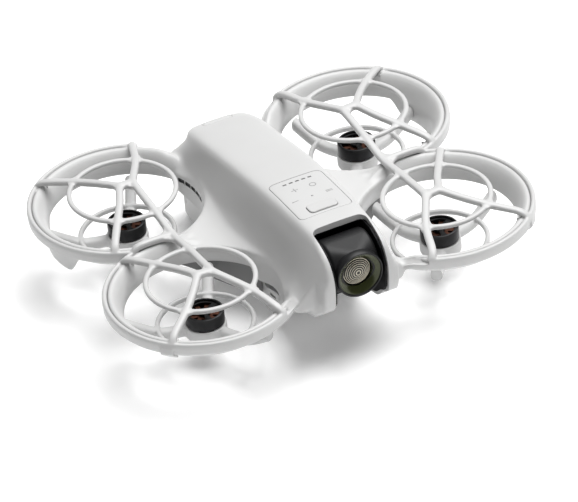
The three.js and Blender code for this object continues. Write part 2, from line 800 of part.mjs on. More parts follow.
function makeDuct(corner) {
  const rings = [];
  for (let i = 0; i < ductSteps; i++) {
    const angle = (360 * i) / ductSteps;
    const deeper = corner.end > 0 ? nearAngle(angle, skirtAngle, skirtSpread, skirtBlend) : 0;
    const profile = ductProfile(THREE.MathUtils.lerp(ductFoot, -skirtDrop, deeper), readTable(lipRiseShares, angle));
    rings.push(profile.map(([radius, height]) => nearDuct(corner, angle, radius, motorPlane + height)));
  }
  const ring = lofted(rings, true);
  const webTop = motorPlane + webHeight;
  const gap = seatGap / 2;
  const web = block(rootHalf, ductX, 0, ductY, webTop - webDepth, webTop);
  const hole = rod((throatRadius + lipRadius) / 2, -farReach, farReach, ductSteps).translate([ductX, ductY, 0]);
  const placedWeb = web.subtract(hole).scale([corner.side, corner.end, 1]);
  const room = block(rootHalf + gap, farReach, gap, farReach, -farReach, farReach);
  const barLow = motorPlane + spineHeight - spokeDepth / 2 - seatGap;
  const barSeat = block(rootHalf, farReach, 0, crossBarWidth / 2 + seatGap, barLow, farReach);
  return ring.add(placedWeb).intersect(room.subtract(barSeat).scale([corner.side, corner.end, 1]));
}

// Motor mounts

function makeMotorMount(corner) {
  const cup = turned([
    [0, -cupBottom],
    [cupRadius - cupWall / 2, -cupBottom],
    [cupRadius, cupWall / 2 - cupBottom],
    [cupRadius, -cupTop],
    [cupRadius - cupWall, -cupTop],
    [cupRadius - cupWall, -cupFloorDrop],
    [0, -cupFloorDrop],
  ]);
  const ringInner = lowerRingRadius - lowerRingWidth;
  const ringLow = -lowerRingTop - lowerRingDepth;
  const ring = tube(ringInner, lowerRingRadius, ringLow, -lowerRingTop);
  const tip = throatRadius + overrun;
  const struts = strutAngles.map((angle) => {
    const turn = angle * degree;
    const at = (radius, drop) => new THREE.Vector3(radius * Math.cos(turn), radius * Math.sin(turn), -drop);
    const middle = at(lowerRingRadius, (strutRootDrop + lowerRingTop + lowerRingDepth) / 2);
    const points = [at(cupRadius - cupWall / 2, strutRootDrop), middle, at(tip, strutTipDrop)];
    return bar(points, strutWidth, [strutDepth, strutDepth], 2);
  });
  const room = rod(throatRadius - 1.5 * seatGap, -farReach, farReach, ductSteps);
  const mount = joined([cup, ring, ...struts]).intersect(room).scale([-corner.side, 1, 1]);
  return mount.translate([corner.side * ductX, corner.end * ductY, motorPlane]);
}

// Motors

function makeBell() {
  const wall = turned([
    [bellInner, -bellHeight],
    [bellRadius, -bellHeight],
    [bellRadius, -bellRim / 3],
    [bellRadius - bellRim / 3, 0],
    [bellRadius - bellRim, 0],
    [bellRadius - bellRim, -bellPlateDrop],
    [bellInner - bellRim, -bellPlateDrop],
    [bellInner - bellRim, -bellPlateDrop - bellPlateDepth],
    [bellInner, -bellPlateDrop - bellPlateDepth],
    [bellInner, -bellHeight],
  ]);
  const low = -bellPlateDrop - bellPlateDepth;
  const hub = tube(shaftBore, bellHubRadius, low, -bellPlateDrop, smallSteps);
  const spokes = [];
  for (let i = 0; i < bellSpokes; i++) {
    const inner = (shaftBore + bellHubRadius) / 2;
    const spoke = block(inner, bellInner - bellRim / 2, -bellSpokeWidth / 2, bellSpokeWidth / 2, low, -bellPlateDrop);
    spokes.push(spoke.rotate([0, 0, (360 * i) / bellSpokes]));
  }
  return joined([wall, hub, ...spokes]);
}

// Nine wound teeth round a bearing tube, on a short base.
function makeStator() {
  const outer = bellInner - statorAirGap;
  const shape = new THREE.Shape();
  const edges = [[0.15, 1], [0.6, 1], [0.68, toothRootShare], [1.07, toothRootShare]];
  for (let i = 0; i < statorTeeth; i++) {
    edges.forEach(([turnShare, radiusShare], k) => {
      const turn = (2 * Math.PI * (i + turnShare)) / statorTeeth;
      const x = outer * radiusShare * Math.cos(turn);
      const y = outer * radiusShare * Math.sin(turn);
      if (i + k === 0) shape.moveTo(x, y);
      else shape.lineTo(x, y);
    });
  }
  const top = -statorTopDrop;
  const core = raised(shape, top - statorStack, top);
  const base = rod(statorBaseRadius, -cupFloorDrop + seatGap, top - statorStack / 2, smallSteps);
  return core.add(base).subtract(rod(shaftBore, -cupBottom, overrun, smallSteps));
}

function addMotor(corner) {
  const place = [corner.side * ductX, corner.end * ductY, motorPlane];
  const shaft = rod(shaftRadius, -cupFloorDrop + seatGap, -shaftTipDrop, smallSteps);
  addPiece("motor_mount_" + corner.name, "frameWhite", makeMotorMount(corner));
  addPiece("motor_stator_" + corner.name, "copper", makeStator().translate(place));
  addPiece("motor_bell_" + corner.name, "motorBlack", makeBell().translate(place));
  addPiece("motor_shaft_" + corner.name, "steel", shaft.translate(place));
}

// Guards

// Height of the domed guard above the motor top at a radius: through the crown, the inner ring and the knee.
function domeHeight(radius) {
  const ringFall = (crownHeight - innerRingHeight) / innerRingRadius;
  const kneeFall = (crownHeight - spokeKneeHeight) / spokeKneeRadius;
  const curve = (kneeFall - ringFall) / (spokeKneeRadius - innerRingRadius);
  const slope = ringFall - curve * innerRingRadius;
  return crownHeight - slope * radius - curve * radius * radius;
}

function domePoint(corner, angle, radius) {
  return nearDuct(corner, angle, radius, motorPlane + domeHeight(radius));
}

function makeSpoke(corner, ringAngle, rimAngle) {
  const halfway = (innerRingRadius + spokeKneeRadius) / 2;
  const points = [
    domePoint(corner, ringAngle, 0),
    domePoint(corner, ringAngle, innerRingRadius / 2),
    domePoint(corner, ringAngle, innerRingRadius),
    domePoint(corner, (ringAngle + rimAngle) / 2, halfway),
    domePoint(corner, rimAngle, spokeKneeRadius),
    nearDuct(corner, rimAngle, wireLine, motorPlane + spokeEndHeight),
  ];
  return bar(points, spokeWidth, [spokeDepth, spokeDepth, 2 * wireRadius], 5);
}

function rimWire(corner) {
  const points = [];
  const onRim = (angle) => nearDuct(corner, angle, wireLine, motorPlane + wireHeight);
  points.push(onRim(rimEndAngle));
  const first = Math.ceil(rimEndAngle / rimStep - 1) * rimStep;
  for (let angle = first; angle > rimStartAngle; angle -= rimStep) points.push(onRim(angle));
  points.push(onRim(rimStartAngle));
  return bar(points, 2 * wireRadius, [2 * wireRadius, 2 * wireRadius], points.length - 1);
}

function innerRing(corner) {
  const rings = [];
  const steps = roundSteps;
  const half = innerRingWidth / 2;
  const section = [[half, 0], [half / 2, 0.5], [-half / 2, 0.5], [-half, 0], [-half / 2, -0.5], [half / 2, -0.5]];
  for (let i = 0; i < steps; i++) {
    rings.push(section.map(([out, up]) => nearDuct(corner, (360 * i) / steps, innerRingRadius + out,
      motorPlane + innerRingHeight + up * innerRingDepth)));
  }
  return lofted(rings, true);
}

// A tongue that hangs from the rim and follows the outside of the duct down to its lower edge.
function guardClip(corner) {
  const skin = lipShares.slice(-4).map(([out, up]) => [
    THREE.MathUtils.lerp(throatRadius, lipRadius, out) + seatGap,
    up * lipHeight - seatGap,
  ]);
  const grown = skin.map(([radius, height]) => [radius + clipThickness, height - clipThickness / 2]);
  const top = [lipRadius + seatGap - wireRadius, wireHeight];
  const outline = [top, ...skin, ...grown.reverse(), [lipRadius + seatGap, wireHeight]];
  const placed = outline.map(([radius, height]) => [radius, height + motorPlane]);
  return rimSlab(corner, clipAngle, placed, clipWidth);
}

function makeGuard(side) {
  const pieces = [];
  const pair = corners.filter((corner) => corner.side === side);
  pair.forEach((corner) => {
    pieces.push(rimWire(corner), innerRing(corner), guardClip(corner));
    pieces.push(makeSpoke(corner, innerSpokeAngle, rimStartAngle));
    pieces.push(makeSpoke(corner, outerSpokeAngle, outerSpokeAngle));
    pieces.push(makeSpoke(corner, middleSpokeAngle, middleSpokeAngle));
    const pad = rod(crownPadRadius, crownHeight - crownPadDepth / 2, crownHeight + crownPadDepth / 2, 6);
    pieces.push(pad.translate([side * ductX, corner.end * ductY, motorPlane]));
  });
  const spineX = side * (ductX - spineOffset);
  const middle = new THREE.Vector3(spineX, 0, motorPlane + spineHeight);
  const [front, rear] = [pair.find((c) => c.end < 0), pair.find((c) => c.end > 0)];
  const crossing = (corner) => {
    const along = Math.sqrt(innerRingRadius ** 2 - spineOffset ** 2);
    return new THREE.Vector3(spineX, corner.end * (ductY - along), motorPlane + innerRingHeight);
  };
  const spine = [domePoint(rear, 0, 0), crossing(rear), middle, crossing(front), domePoint(front, 0, 0)];
  pieces.push(bar(spine, spokeWidth, [spokeDepth, spokeDepth], 8));
  const meeting = nearDuct(rear, rimEndAngle, wireLine, motorPlane + wireHeight);
  const wireEnd = new THREE.Vector3(meeting.x, 0, motorPlane + wireHeight);
  const bend = new THREE.Vector3(THREE.MathUtils.lerp(spineX, meeting.x, crossBarBend), 0, middle.z);
  pieces.push(bar([middle, bend, wireEnd], crossBarWidth, [spokeDepth, spokeDepth, 2 * wireRadius], 4));
  const tie = 2 * wireRadius;
  const endGap = Math.abs(meeting.y) + wireRadius / 2;
  const tieBlock = block(-tie / 2, tie / 2, -endGap, endGap, -wireRadius / 2, wireRadius);
  pieces.push(tieBlock.translate([wireEnd.x, wireEnd.y, wireEnd.z]));
  return joined(pieces);
}

// Camera

// Lays a solid made about Z so that it points forward from the tilt axis.
function onLensAxis(solid) {
  return solid.rotate([90, 0, 0]).translate([0, -hingeReach, hingeHeight]);
}

function makeCameraBody() {
  const drum = turned([
    [0, -drumHalf],
    [drumRadius - drumEdge, -drumHalf],
    [drumRadius, drumEdge - drumHalf],
    [drumRadius, drumHalf - drumEdge],
    [drumRadius - drumEdge, drumHalf],
    [0, drumHalf],
  ], fineSteps).rotate([0, 90, 0]).translate([0, -hingeReach, hingeHeight]);
  const hubEnd = bayHalf + hubSocket;
  const hub = onTiltAxis(rod(hubRadius, -hubEnd, hubEnd, smallSteps), 1);
  const snout = onLensAxis(rod(snoutRadius, 0, snoutReach, fineSteps));
  const boreStart = snoutReach - seatGap - cellLength - sensorDepth - 2 * seatGap - glassRim;
  const bore = onLensAxis(rod(lensBore, boreStart, snoutReach + overrun));
  const front = -hingeReach - snoutReach;
  const head = joined([drum, hub, snout]).intersect(middleBlock(farReach, front, farReach, -overrun, farReach));
  return head.subtract(bore);
}

function addCamera() {
  addPiece("camera_body", "cameraGrey", makeCameraBody());
  const ringStart = snoutReach + seatGap;
  const ringInner = lensRingRadius - lensRingWall;
  addPiece("lens_ring", "cameraGrey", onLensAxis(tube(ringInner, lensRingRadius, ringStart, lensReach, fineSteps)));
  const bezelOuter = ringInner - seatGap;
  const bezelFront = ringStart + bezelDepth;
  const bezel = turned([
    [bezelInner, ringStart],
    [bezelOuter, ringStart],
    [bezelOuter, bezelFront],
    [bezelOuter - bezelEdge, bezelFront],
    [bezelInner, ringStart + bezelEdge],
    [bezelInner, ringStart],
  ], fineSteps);
  addPiece("lens_bezel", "bezelGreen", onLensAxis(bezel));
  const glassRadius = bezelInner - seatGap;
  const glassBack = snoutReach - glassRim;
  const glass = turned([
    [0, glassBack],
    [glassRadius, glassBack],
    [glassRadius, snoutReach],
    [glassRadius * 0.8, snoutReach + 0.45 * glassCrown],
    [glassRadius * 0.45, snoutReach + 0.85 * glassCrown],
    [0, snoutReach + glassCrown],
  ]);
  addPiece("lens_glass", "lensGlass", onLensAxis(glass));
  const cellRadius = lensBore - seatGap;
  const cellFront = glassBack - seatGap;
  const cellBack = cellFront - cellLength;
  const cell = turned([
    [0, cellBack],
    [cellRadius, cellBack],
    [cellRadius, cellFront],
    [cellRadius * 0.85, cellFront],
    [cellRadius * 0.7, cellFront - cellLength * 0.12],
    [cellRadius * 0.5, cellFront - cellLength * 0.12],
    [cellRadius * 0.4, cellFront - cellLength * 0.3],
    [0, cellFront - cellLength * 0.3],
  ]);
  addPiece("lens_barrel", "linerBlack", onLensAxis(cell));
  const sensorFront = cellBack - seatGap;
  const sensor = block(-sensorHalf, sensorHalf, -sensorHalf, sensorHalf, sensorFront - sensorDepth, sensorFront);
  addPiece("image_sensor", "boardGreen", onLensAxis(sensor));
  const motorStart = bayHalf;
  const socket = rod(hubRadius + seatGap, -overrun, bayHalf + hubSocket + seatGap, smallSteps);
  const motor = rod(tiltMotorRadius, motorStart, motorStart + tiltMotorDepth).subtract(socket);
  addPiece("tilt_motor", "steel", onTiltAxis(motor, -1));
  const bearing = rod(tiltBearingRadius, motorStart, motorStart + tiltBearingDepth).subtract(socket);
  addPiece("tilt_bearing", "steel", onTiltAxis(bearing, 1));
}

// The black lining of the camera bay: a back wall, a short ceiling and a plate inside each cheek.
function makeLiner() {
  const outer = bayHalf - seatGap;
  const inner = outer - linerWall;
  const back = bayBack + seatGap;
  const ceiling = bayCeiling - seatGap;
  const plates = across(cheekOutline(linerInset), -outer, outer);
  const nose = noseReach + overrun;
  const room = across([[nose, linerNoseLow], [nose, ceiling], [back, ceiling], [back, linerBackLow]], -outer, outer);
  const open = middleBlock(inner, -farReach, -back - linerWall, -overrun, ceiling - linerWall);
  const sky = middleBlock(inner, -farReach, -roofFront + linerInset, ceiling - linerWall, farReach);
  const hole = onTiltAxis(rod(hubRadius + seatGap, -bayHalf - overrun, bayHalf + overrun, smallSteps), 1);
  const rear = middleBlock(outer, -back, -cheekReach(cheekShares[0][0]) - seatGap, linerBackLow, ceiling);
  return room.intersect(plates.add(rear)).subtract(open).subtract(sky).subtract(hole);
}

// Panel and buttons

function addControls() {
  const modeRow = -(modeFront + modeRear) / 2;
  const gapped = roundedPlan(modeHalf + seatGap, -modeFront - seatGap, -modeRear + seatGap, modeRound);
  let panel = roofLayer(roundedPlan(panelHalf, -panelFront, -panelRear, panelRound), 0, panelThickness);
  panel = panel.subtract(raised(gapped, ledgeHeight, farReach));
  lightSpans().forEach((span) => {
    panel = panel.subtract(lightBlock(span, seatGap, ledgeHeight, farReach));
  });
  addPiece("control_panel", "shellWhite", panel);

  const modeShape = roundedPlan(modeHalf, -modeFront, -modeRear, modeRound);
  const modeCap = roofLayer(modeShape, modeRaise, panelThickness - buttonTravel);
  const switchTop = controlBoardTop + modeSwitchHeight;
  const modeTop = roofAt(modeRow);
  const modeStem = rod(stemRadius, switchTop + seatGap + buttonTravel, modeTop - seatGap, smallSteps);
  addPiece("mode_button", "buttonWhite", modeCap.add(modeStem.translate([0, modeRow, 0])));

  const powerRow = (powerFront + powerRear) / 2;
  const powerShape = roundedPlan(powerHalf, powerFront, powerRear, powerRound);
  const powerCap = roofLayer(powerShape, 0, powerThickness);
  const powerTop = roofAt(powerRow);
  const powerSwitchTop = ledgeHeight + seatGap;
  const powerStem = rod(stemRadius, powerSwitchTop + seatGap + buttonTravel, powerTop - seatGap, smallSteps);
  addPiece("power_button", "buttonWhite", powerCap.add(powerStem.translate([0, powerRow, 0])));
  return { modeRow, powerRow, powerSwitchTop, switchTop };
}

// Boards and what they carry

function addElectronics({ modeRow, powerRow, powerSwitchTop, switchTop }) {
  const boardHalf = upperBayHalf - seatGap;
  const boardFront = -bayBack + bayWall + seatGap;
  const control = middleBlock(boardHalf, boardFront, -controlBoardRear, controlBoardHeight, controlBoardTop);
  const modeSwitch = block(-switchHalf, switchHalf, modeRow - switchHalf, modeRow + switchHalf, controlBoardHeight,
    switchTop);
  addPiece("control_board", "boardGreen", control.add(modeSwitch));

  addPiece("light_guide", "ceramic", makeLightGuide());

  let main = middleBlock(mainBoardHalf, -mainBoardFront, mainBoardRear, mainBoardTop - boardThickness, mainBoardTop);
  const powerSwitch = block(-switchHalf, switchHalf, powerRow - switchHalf, powerRow + switchHalf - seatGap,
    mainBoardTop - boardThickness / 2, powerSwitchTop);
  main = main.add(powerSwitch.intersect(middleBlock(farReach, -farReach, mainBoardRear, -overrun, farReach)));
  addPiece("main_board", "boardGreen", main);

  const sinkLow = mainBoardTop + seatGap;
  const fins = [];
  for (let i = 0; i < sinkFins; i++) {
    const x = THREE.MathUtils.lerp(-sinkHalf, sinkHalf - sinkFinThickness, i / (sinkFins - 1));
    fins.push(block(x, x + sinkFinThickness, -sinkFront, -sinkRear, sinkLow, sinkLow + sinkHeight));
  }
  const base = middleBlock(sinkHalf, -sinkFront, -sinkRear, sinkLow, sinkLow + sinkBase);
  addPiece("heat_sink", "aluminium", joined([base, ...fins]));
  addPiece("gnss_antenna", "ceramic", middleBlock(antennaHalf, antennaStart, antennaStart + 2 * antennaHalf,
    sinkLow, sinkLow + antennaHeight));

  const flightFront = -lowerBayFront + seatGap;
  const flightHalf = lowerBayHalf - seatGap;
  addPiece("flight_board", "boardGreen", middleBlock(flightHalf, flightFront, -flightBoardRear, flightBoardHeight,
    flightBoardTop));
  const downTop = flightBoardHeight - seatGap;
  addPiece("down_camera", "linerBlack", rod(downLensRadius, bellyRecess, downTop).translate([0, -downLensRow, 0]));
  addPiece("range_sensor", "linerBlack", middleBlock(rangeHalfWidth, -rangeRow - rangeHalfLength,
    -rangeRow + rangeHalfLength, bellyRecess, downTop));
  const connectorLow = flightBoardTop + seatGap;
  addPiece("battery_connector", "linerBlack", middleBlock(connectorHalf, -batteryFront - seatGap - connectorDepth,
    -batteryFront - seatGap, connectorLow - connectorHeight / 2, connectorLow + connectorHeight / 2)
    .subtract(middleBlock(farReach, -farReach, -flightBoardRear + seatGap, -overrun, connectorLow)));
  const portOuter = sideHalf - seatGap;
  const portShell = portRun(0, portOuter - portDepth, portOuter);
  const mouth = portRun(-portWall, portOuter - portDepth + portWall, farReach);
  addPiece("usb_c_port", "steel", portShell.subtract(mouth));
}

// A strip on the board with one finger for each status light.
function makeLightGuide() {
  const low = controlBoardTop + seatGap;
  const roof = roofAt(-lightRow);
  const strip = lightBlock(lightStrip(), 0, low, roof - panelThickness - 2 * seatGap);
  return joined([strip, ...lightSpans().map((span) => lightBlock(span, 0, low, roof - seatGap))]);
}

// Belly

function screwPlaces() {
  const rows = [-screwRow - screwSpan / 2, -screwRow + screwSpan / 2];
  return sides.flatMap(({ name, side }) => rows.map((y, i) => ({
    name: "belly_screw_" + (i ? "rear_" : "front_") + name,
    place: [side * screwHalf, y, 0],
  })));
}

function addBelly() {
  const half = bellyHalf - seatGap;
  let cover = middleBlock(half, -bellyFront + seatGap, bellyRear - seatGap, 0, coverThickness);
  const bossTop = flightBoardHeight - seatGap;
  screwPlaces().forEach(({ place }) => {
    cover = cover.add(rod(bossRadius, 0, bossTop, smallSteps).translate(place));
  });
  const lensHole = rod(downLensRadius + seatGap, -overrun, flightBoardHeight);
  cover = cover.subtract(lensHole.translate([0, -downLensRow, 0]));
  cover = cover.subtract(middleBlock(rangeHalfWidth + seatGap, -rangeRow - rangeHalfLength - seatGap,
    -rangeRow + rangeHalfLength + seatGap, -overrun, overrun));
  screwPlaces().forEach(({ name, place }) => {
    const hole = rod(screwRadius + seatGap, -overrun, bossTop + overrun, smallSteps);
    const headHole = rod(screwHead + seatGap, -overrun, screwHeadDepth + seatGap, smallSteps);
    cover = cover.subtract(hole.add(headHole).translate(place));
    const screw = turned([[0, 0], [screwHead, 0], [screwHead, screwHeadDepth], [screwRadius, screwHeadDepth],
      [screwRadius, bossTop - seatGap], [0, bossTop - seatGap]], smallSteps);
    addPiece(name, "steel", screw.translate([place[0], place[1], seatGap / 2]));
  });
  addPiece("bottom_cover", "shellWhite", cover);
}

// Battery

function latchBlock(side, grow) {
  const inner = lowerBayHalf;
  const latch = block(inner - (grow > 0 ? latchTravel + seatGap + batteryWall : 0), farReach,
    latchFront - grow, latchRear + grow, latchLow - grow, latchHigh + grow);
  return side < 0 ? latch.mirror([1, 0, 0]) : latch;
}

function addBattery() {
  let pack = middleBlock(batteryHalf, -batteryFront, batteryEnd + overrun, batteryFloor, batteryTop);
  const capHalf = rootHalf - seatGap / 2;
  const cap = middleBlock(capHalf, batteryEnd, farReach, -overrun, ledgeHeight - seatGap);
  const coverRoom = middleBlock(bellyHalf, -farReach, bellyRear, -overrun, batteryFloor);
  const boardRoom = middleBlock(lowerBayHalf, -farReach, batteryRise, batteryTop, farReach);
  pack = pack.add(cap.subtract(coverRoom).subtract(boardRoom)).intersect(fuselageForm);
  const roomHalf = batteryHalf - batteryWall;
  const roomRear = batteryEnd - batteryWall;
  const low = batteryFloor + batteryWall;
  const high = batteryTop - batteryWall;
  pack = pack.subtract(middleBlock(roomHalf, -farReach, roomRear, low, high));
  sides.forEach(({ side }) => {
    pack = pack.subtract(latchBlock(side, seatGap));
  });
  addPiece("battery_case", "batteryGrey", pack);
  const pitch = (high - low - seatGap) / cellCount;
  for (let i = 0; i < cellCount; i++) {
    const cellLow = low + seatGap + i * pitch;
    addPiece("battery_cell_" + (i + 1), "cellSilver", middleBlock(roomHalf - seatGap, -batteryFront + batteryWall,
      roomRear - seatGap, cellLow, cellLow + pitch - seatGap));
  }
  sides.forEach(({ name, side }) => {
    addPiece("battery_latch_" + name, "batteryGrey", latchBlock(side, 0).intersect(fuselageForm));
  });
}

// Vents

function addVents() {
  corners.filter((corner) => corner.end > 0).forEach((corner) => {
    let grille = ventBand(corner, 0);
    for (let i = 1; i < ventSegments; i++) {
      const angle = THREE.MathUtils.lerp(ventStartAngle, ventEndAngle, i / ventSegments);
      const centre = motorPlane + ventRise;
      const half = ventHeight / 2 + overrun;
      const inner = throatRadius + seatGap - overrun;
      const outer = throatRadius + seatGap + ventDepth / 3;
      grille = grille.subtract(rimSlab(corner, angle, [[inner, centre - half], [outer, centre - half],
        [outer, centre + half], [inner, centre + half]], seatGap));
    }
    addPiece("vent_grille_" + (corner.side < 0 ? "right" : "left"), "ventBlack", grille);
  });
  corners.filter((corner) => corner.end < 0).forEach((corner) => {
    addPiece("louver_" + (corner.side < 0 ? "right" : "left"), "frameWhite", makeLouver(corner));
  });
}

// A frame with slats in a window of the fuselage's side wall.
function makeLouver(corner) {
  const inner = lowerBayHalf;
  const outer = sideHalf - seatGap;
  const frame = block(inner, outer, -louverFront, -louverRear, louverLow, louverHigh);
  const gapHeight = (louverHigh - louverLow - 2 * louverFrame - (louverSlats - 1) * louverSlatDepth) / louverSlats;
  let louver = frame;
  for (let i = 0; i < louverSlats; i++) {
    const low = louverLow + louverFrame + i * (gapHeight + louverSlatDepth);
    louver = louver.subtract(block(inner - overrun, outer + overrun, -louverFront + louverFrame,
      -louverRear - louverFrame, low, low + gapHeight));
  }
  return corner.side < 0 ? louver.mirror([1, 0, 0]) : louver;
}

const shells = makeShells();
addPiece("upper_shell", "shellWhite", shells.upper);
addPiece("lower_shell", "shellWhite", shells.lower);
corners.forEach((corner) => addPiece("duct_" + corner.name, "shellWhite", makeDuct(corner)));
corners.forEach(addMotor);
sides.forEach(({ name, side }) => addPiece("guard_" + name, "guardWhite", makeGuard(side)));
addPiece("camera_bay_liner", "linerBlack", makeLiner());
addCamera();
addElectronics(addControls());
addBelly();
addBattery();
addVents();

export default craft;
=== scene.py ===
import math
import bmesh
import bpy
from mathutils import Matrix, Vector


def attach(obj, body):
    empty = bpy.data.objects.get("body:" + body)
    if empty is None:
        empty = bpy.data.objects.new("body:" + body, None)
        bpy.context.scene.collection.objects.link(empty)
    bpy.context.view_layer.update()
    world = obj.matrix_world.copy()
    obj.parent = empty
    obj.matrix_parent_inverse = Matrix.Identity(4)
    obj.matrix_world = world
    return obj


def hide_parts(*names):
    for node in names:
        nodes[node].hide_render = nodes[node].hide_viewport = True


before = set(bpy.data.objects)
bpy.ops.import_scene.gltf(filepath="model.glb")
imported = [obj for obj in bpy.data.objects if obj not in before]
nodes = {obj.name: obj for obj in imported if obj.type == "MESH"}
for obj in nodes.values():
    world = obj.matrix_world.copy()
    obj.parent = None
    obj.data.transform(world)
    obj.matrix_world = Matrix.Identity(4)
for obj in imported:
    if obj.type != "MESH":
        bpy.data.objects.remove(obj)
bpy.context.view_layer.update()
mm = 0.001  # shapes are made in millimetres and scaled at the end
print("frame loaded:", len(nodes), "nodes")

craft = {
    "ductX": 44.75,
    "ductY": 31.25,
    "motorPlane": 20.2,  # height of the motor tops
    "throat": 26.9,
    "sides": {"right": -1, "left": 1},
    "corners": {"front_right": (-1, -1), "front_left": (1, -1), "rear_right": (-1, 1), "rear_left": (1, 1)},
}
below, above = -5, 90  # heights in millimetres that clear the craft

# Camera, floor and light

photo = {
    "back": (-0.32247, -0.75388, 0.57244),
    "right": (0.89241, -0.44377, -0.08170),
    "up": (0.31562, 0.48450, 0.81587),
    "away": 1702.188,
    "slide": (2.496, -9.652),
    "focal": 4950.657,  # in pixels of a 578 pixel wide frame
    "frameWidth": 578,
    "sensor": 36,
    "clip": (0.05, 20),
}


def makeCamera():
    back, right, up = (Vector(photo[k]).normalized() for k in ("back", "right", "up"))
    lens = bpy.data.cameras.new("camera")
    lens.sensor_width = photo["sensor"]
    lens.lens = photo["focal"] * photo["sensor"] / photo["frameWidth"]
    lens.clip_start, lens.clip_end = photo["clip"]
    camera = bpy.data.objects.new("camera", lens)
    bpy.context.scene.collection.objects.link(camera)
    place = back * photo["away"] + right * photo["slide"][0] + up * photo["slide"][1]
    place.z += craft["motorPlane"]
    turn = Matrix((right, up, back)).transposed().to_4x4()
    camera.matrix_world = Matrix.Translation(place * mm) @ turn
    bpy.context.scene.camera = camera


studio = {
    "world": 0.15,
    "floor": (0.96, 0.96, 0.96),
    "floorGlow": 0.13,
    "floorLevel": -0.0002,
    "floorSize": 6,
    "floorRough": 0.9,
    "floorGloss": 0.1,
    "aim": (0, 0, 0.02),
    "key": {"place": (0.42, 0.08, 1.25), "size": 1.4, "power": 33},
    "fill": {"place": (-0.9, -0.5, 0.7), "size": 0.6, "power": 0.5},
}


def makeStudio():
    scene = bpy.context.scene
    scene.view_settings.view_transform = "Standard"
    world = bpy.data.worlds.new("studio")
    scene.world = world
    world.use_nodes = True
    sky = world.node_tree.nodes["Background"]
    sky.inputs["Color"].default_value = (1, 1, 1, 1)
    sky.inputs["Strength"].default_value = studio["world"]
    for name in ("key", "fill"):
        facts = studio[name]
        light = bpy.data.lights.new(name, "AREA")
        light.shape = "DISK"
        light.size = facts["size"]
        light.energy = facts["power"]
        lamp = bpy.data.objects.new(name, light)
        lamp.location = facts["place"]
        gaze = Vector(studio["aim"]) - lamp.location
        lamp.rotation_euler = gaze.to_track_quat("-Z", "Y").to_euler()
        scene.collection.objects.link(lamp)
    bm = bmesh.new()
    bmesh.ops.create_grid(bm, x_segments=4, y_segments=4, size=studio["floorSize"])
    bmesh.ops.translate(bm, verts=bm.verts, vec=(0, 0, studio["floorLevel"]))
    mesh = bpy.data.meshes.new("floor")
    bm.to_mesh(mesh)
    bm.free()
    floor = bpy.data.objects.new("floor", mesh)
    scene.collection.objects.link(floor)
    paint = bpy.data.materials.new("floorWhite")
    paint.use_nodes = True
    shader = paint.node_tree.nodes["Principled BSDF"]
    shader.inputs["Base Color"].default_value = (*studio["floor"], 1)
    shader.inputs["Roughness"].default_value = studio["floorRough"]
    shader.inputs["Specular IOR Level"].default_value = studio["floorGloss"]
    shader.inputs["Emission Color"].default_value = (1, 1, 1, 1)
    shader.inputs["Emission Strength"].default_value = studio["floorGlow"]
    mesh.materials.append(paint)


makeCamera()
makeStudio()
print("camera and studio ready")

# Materials

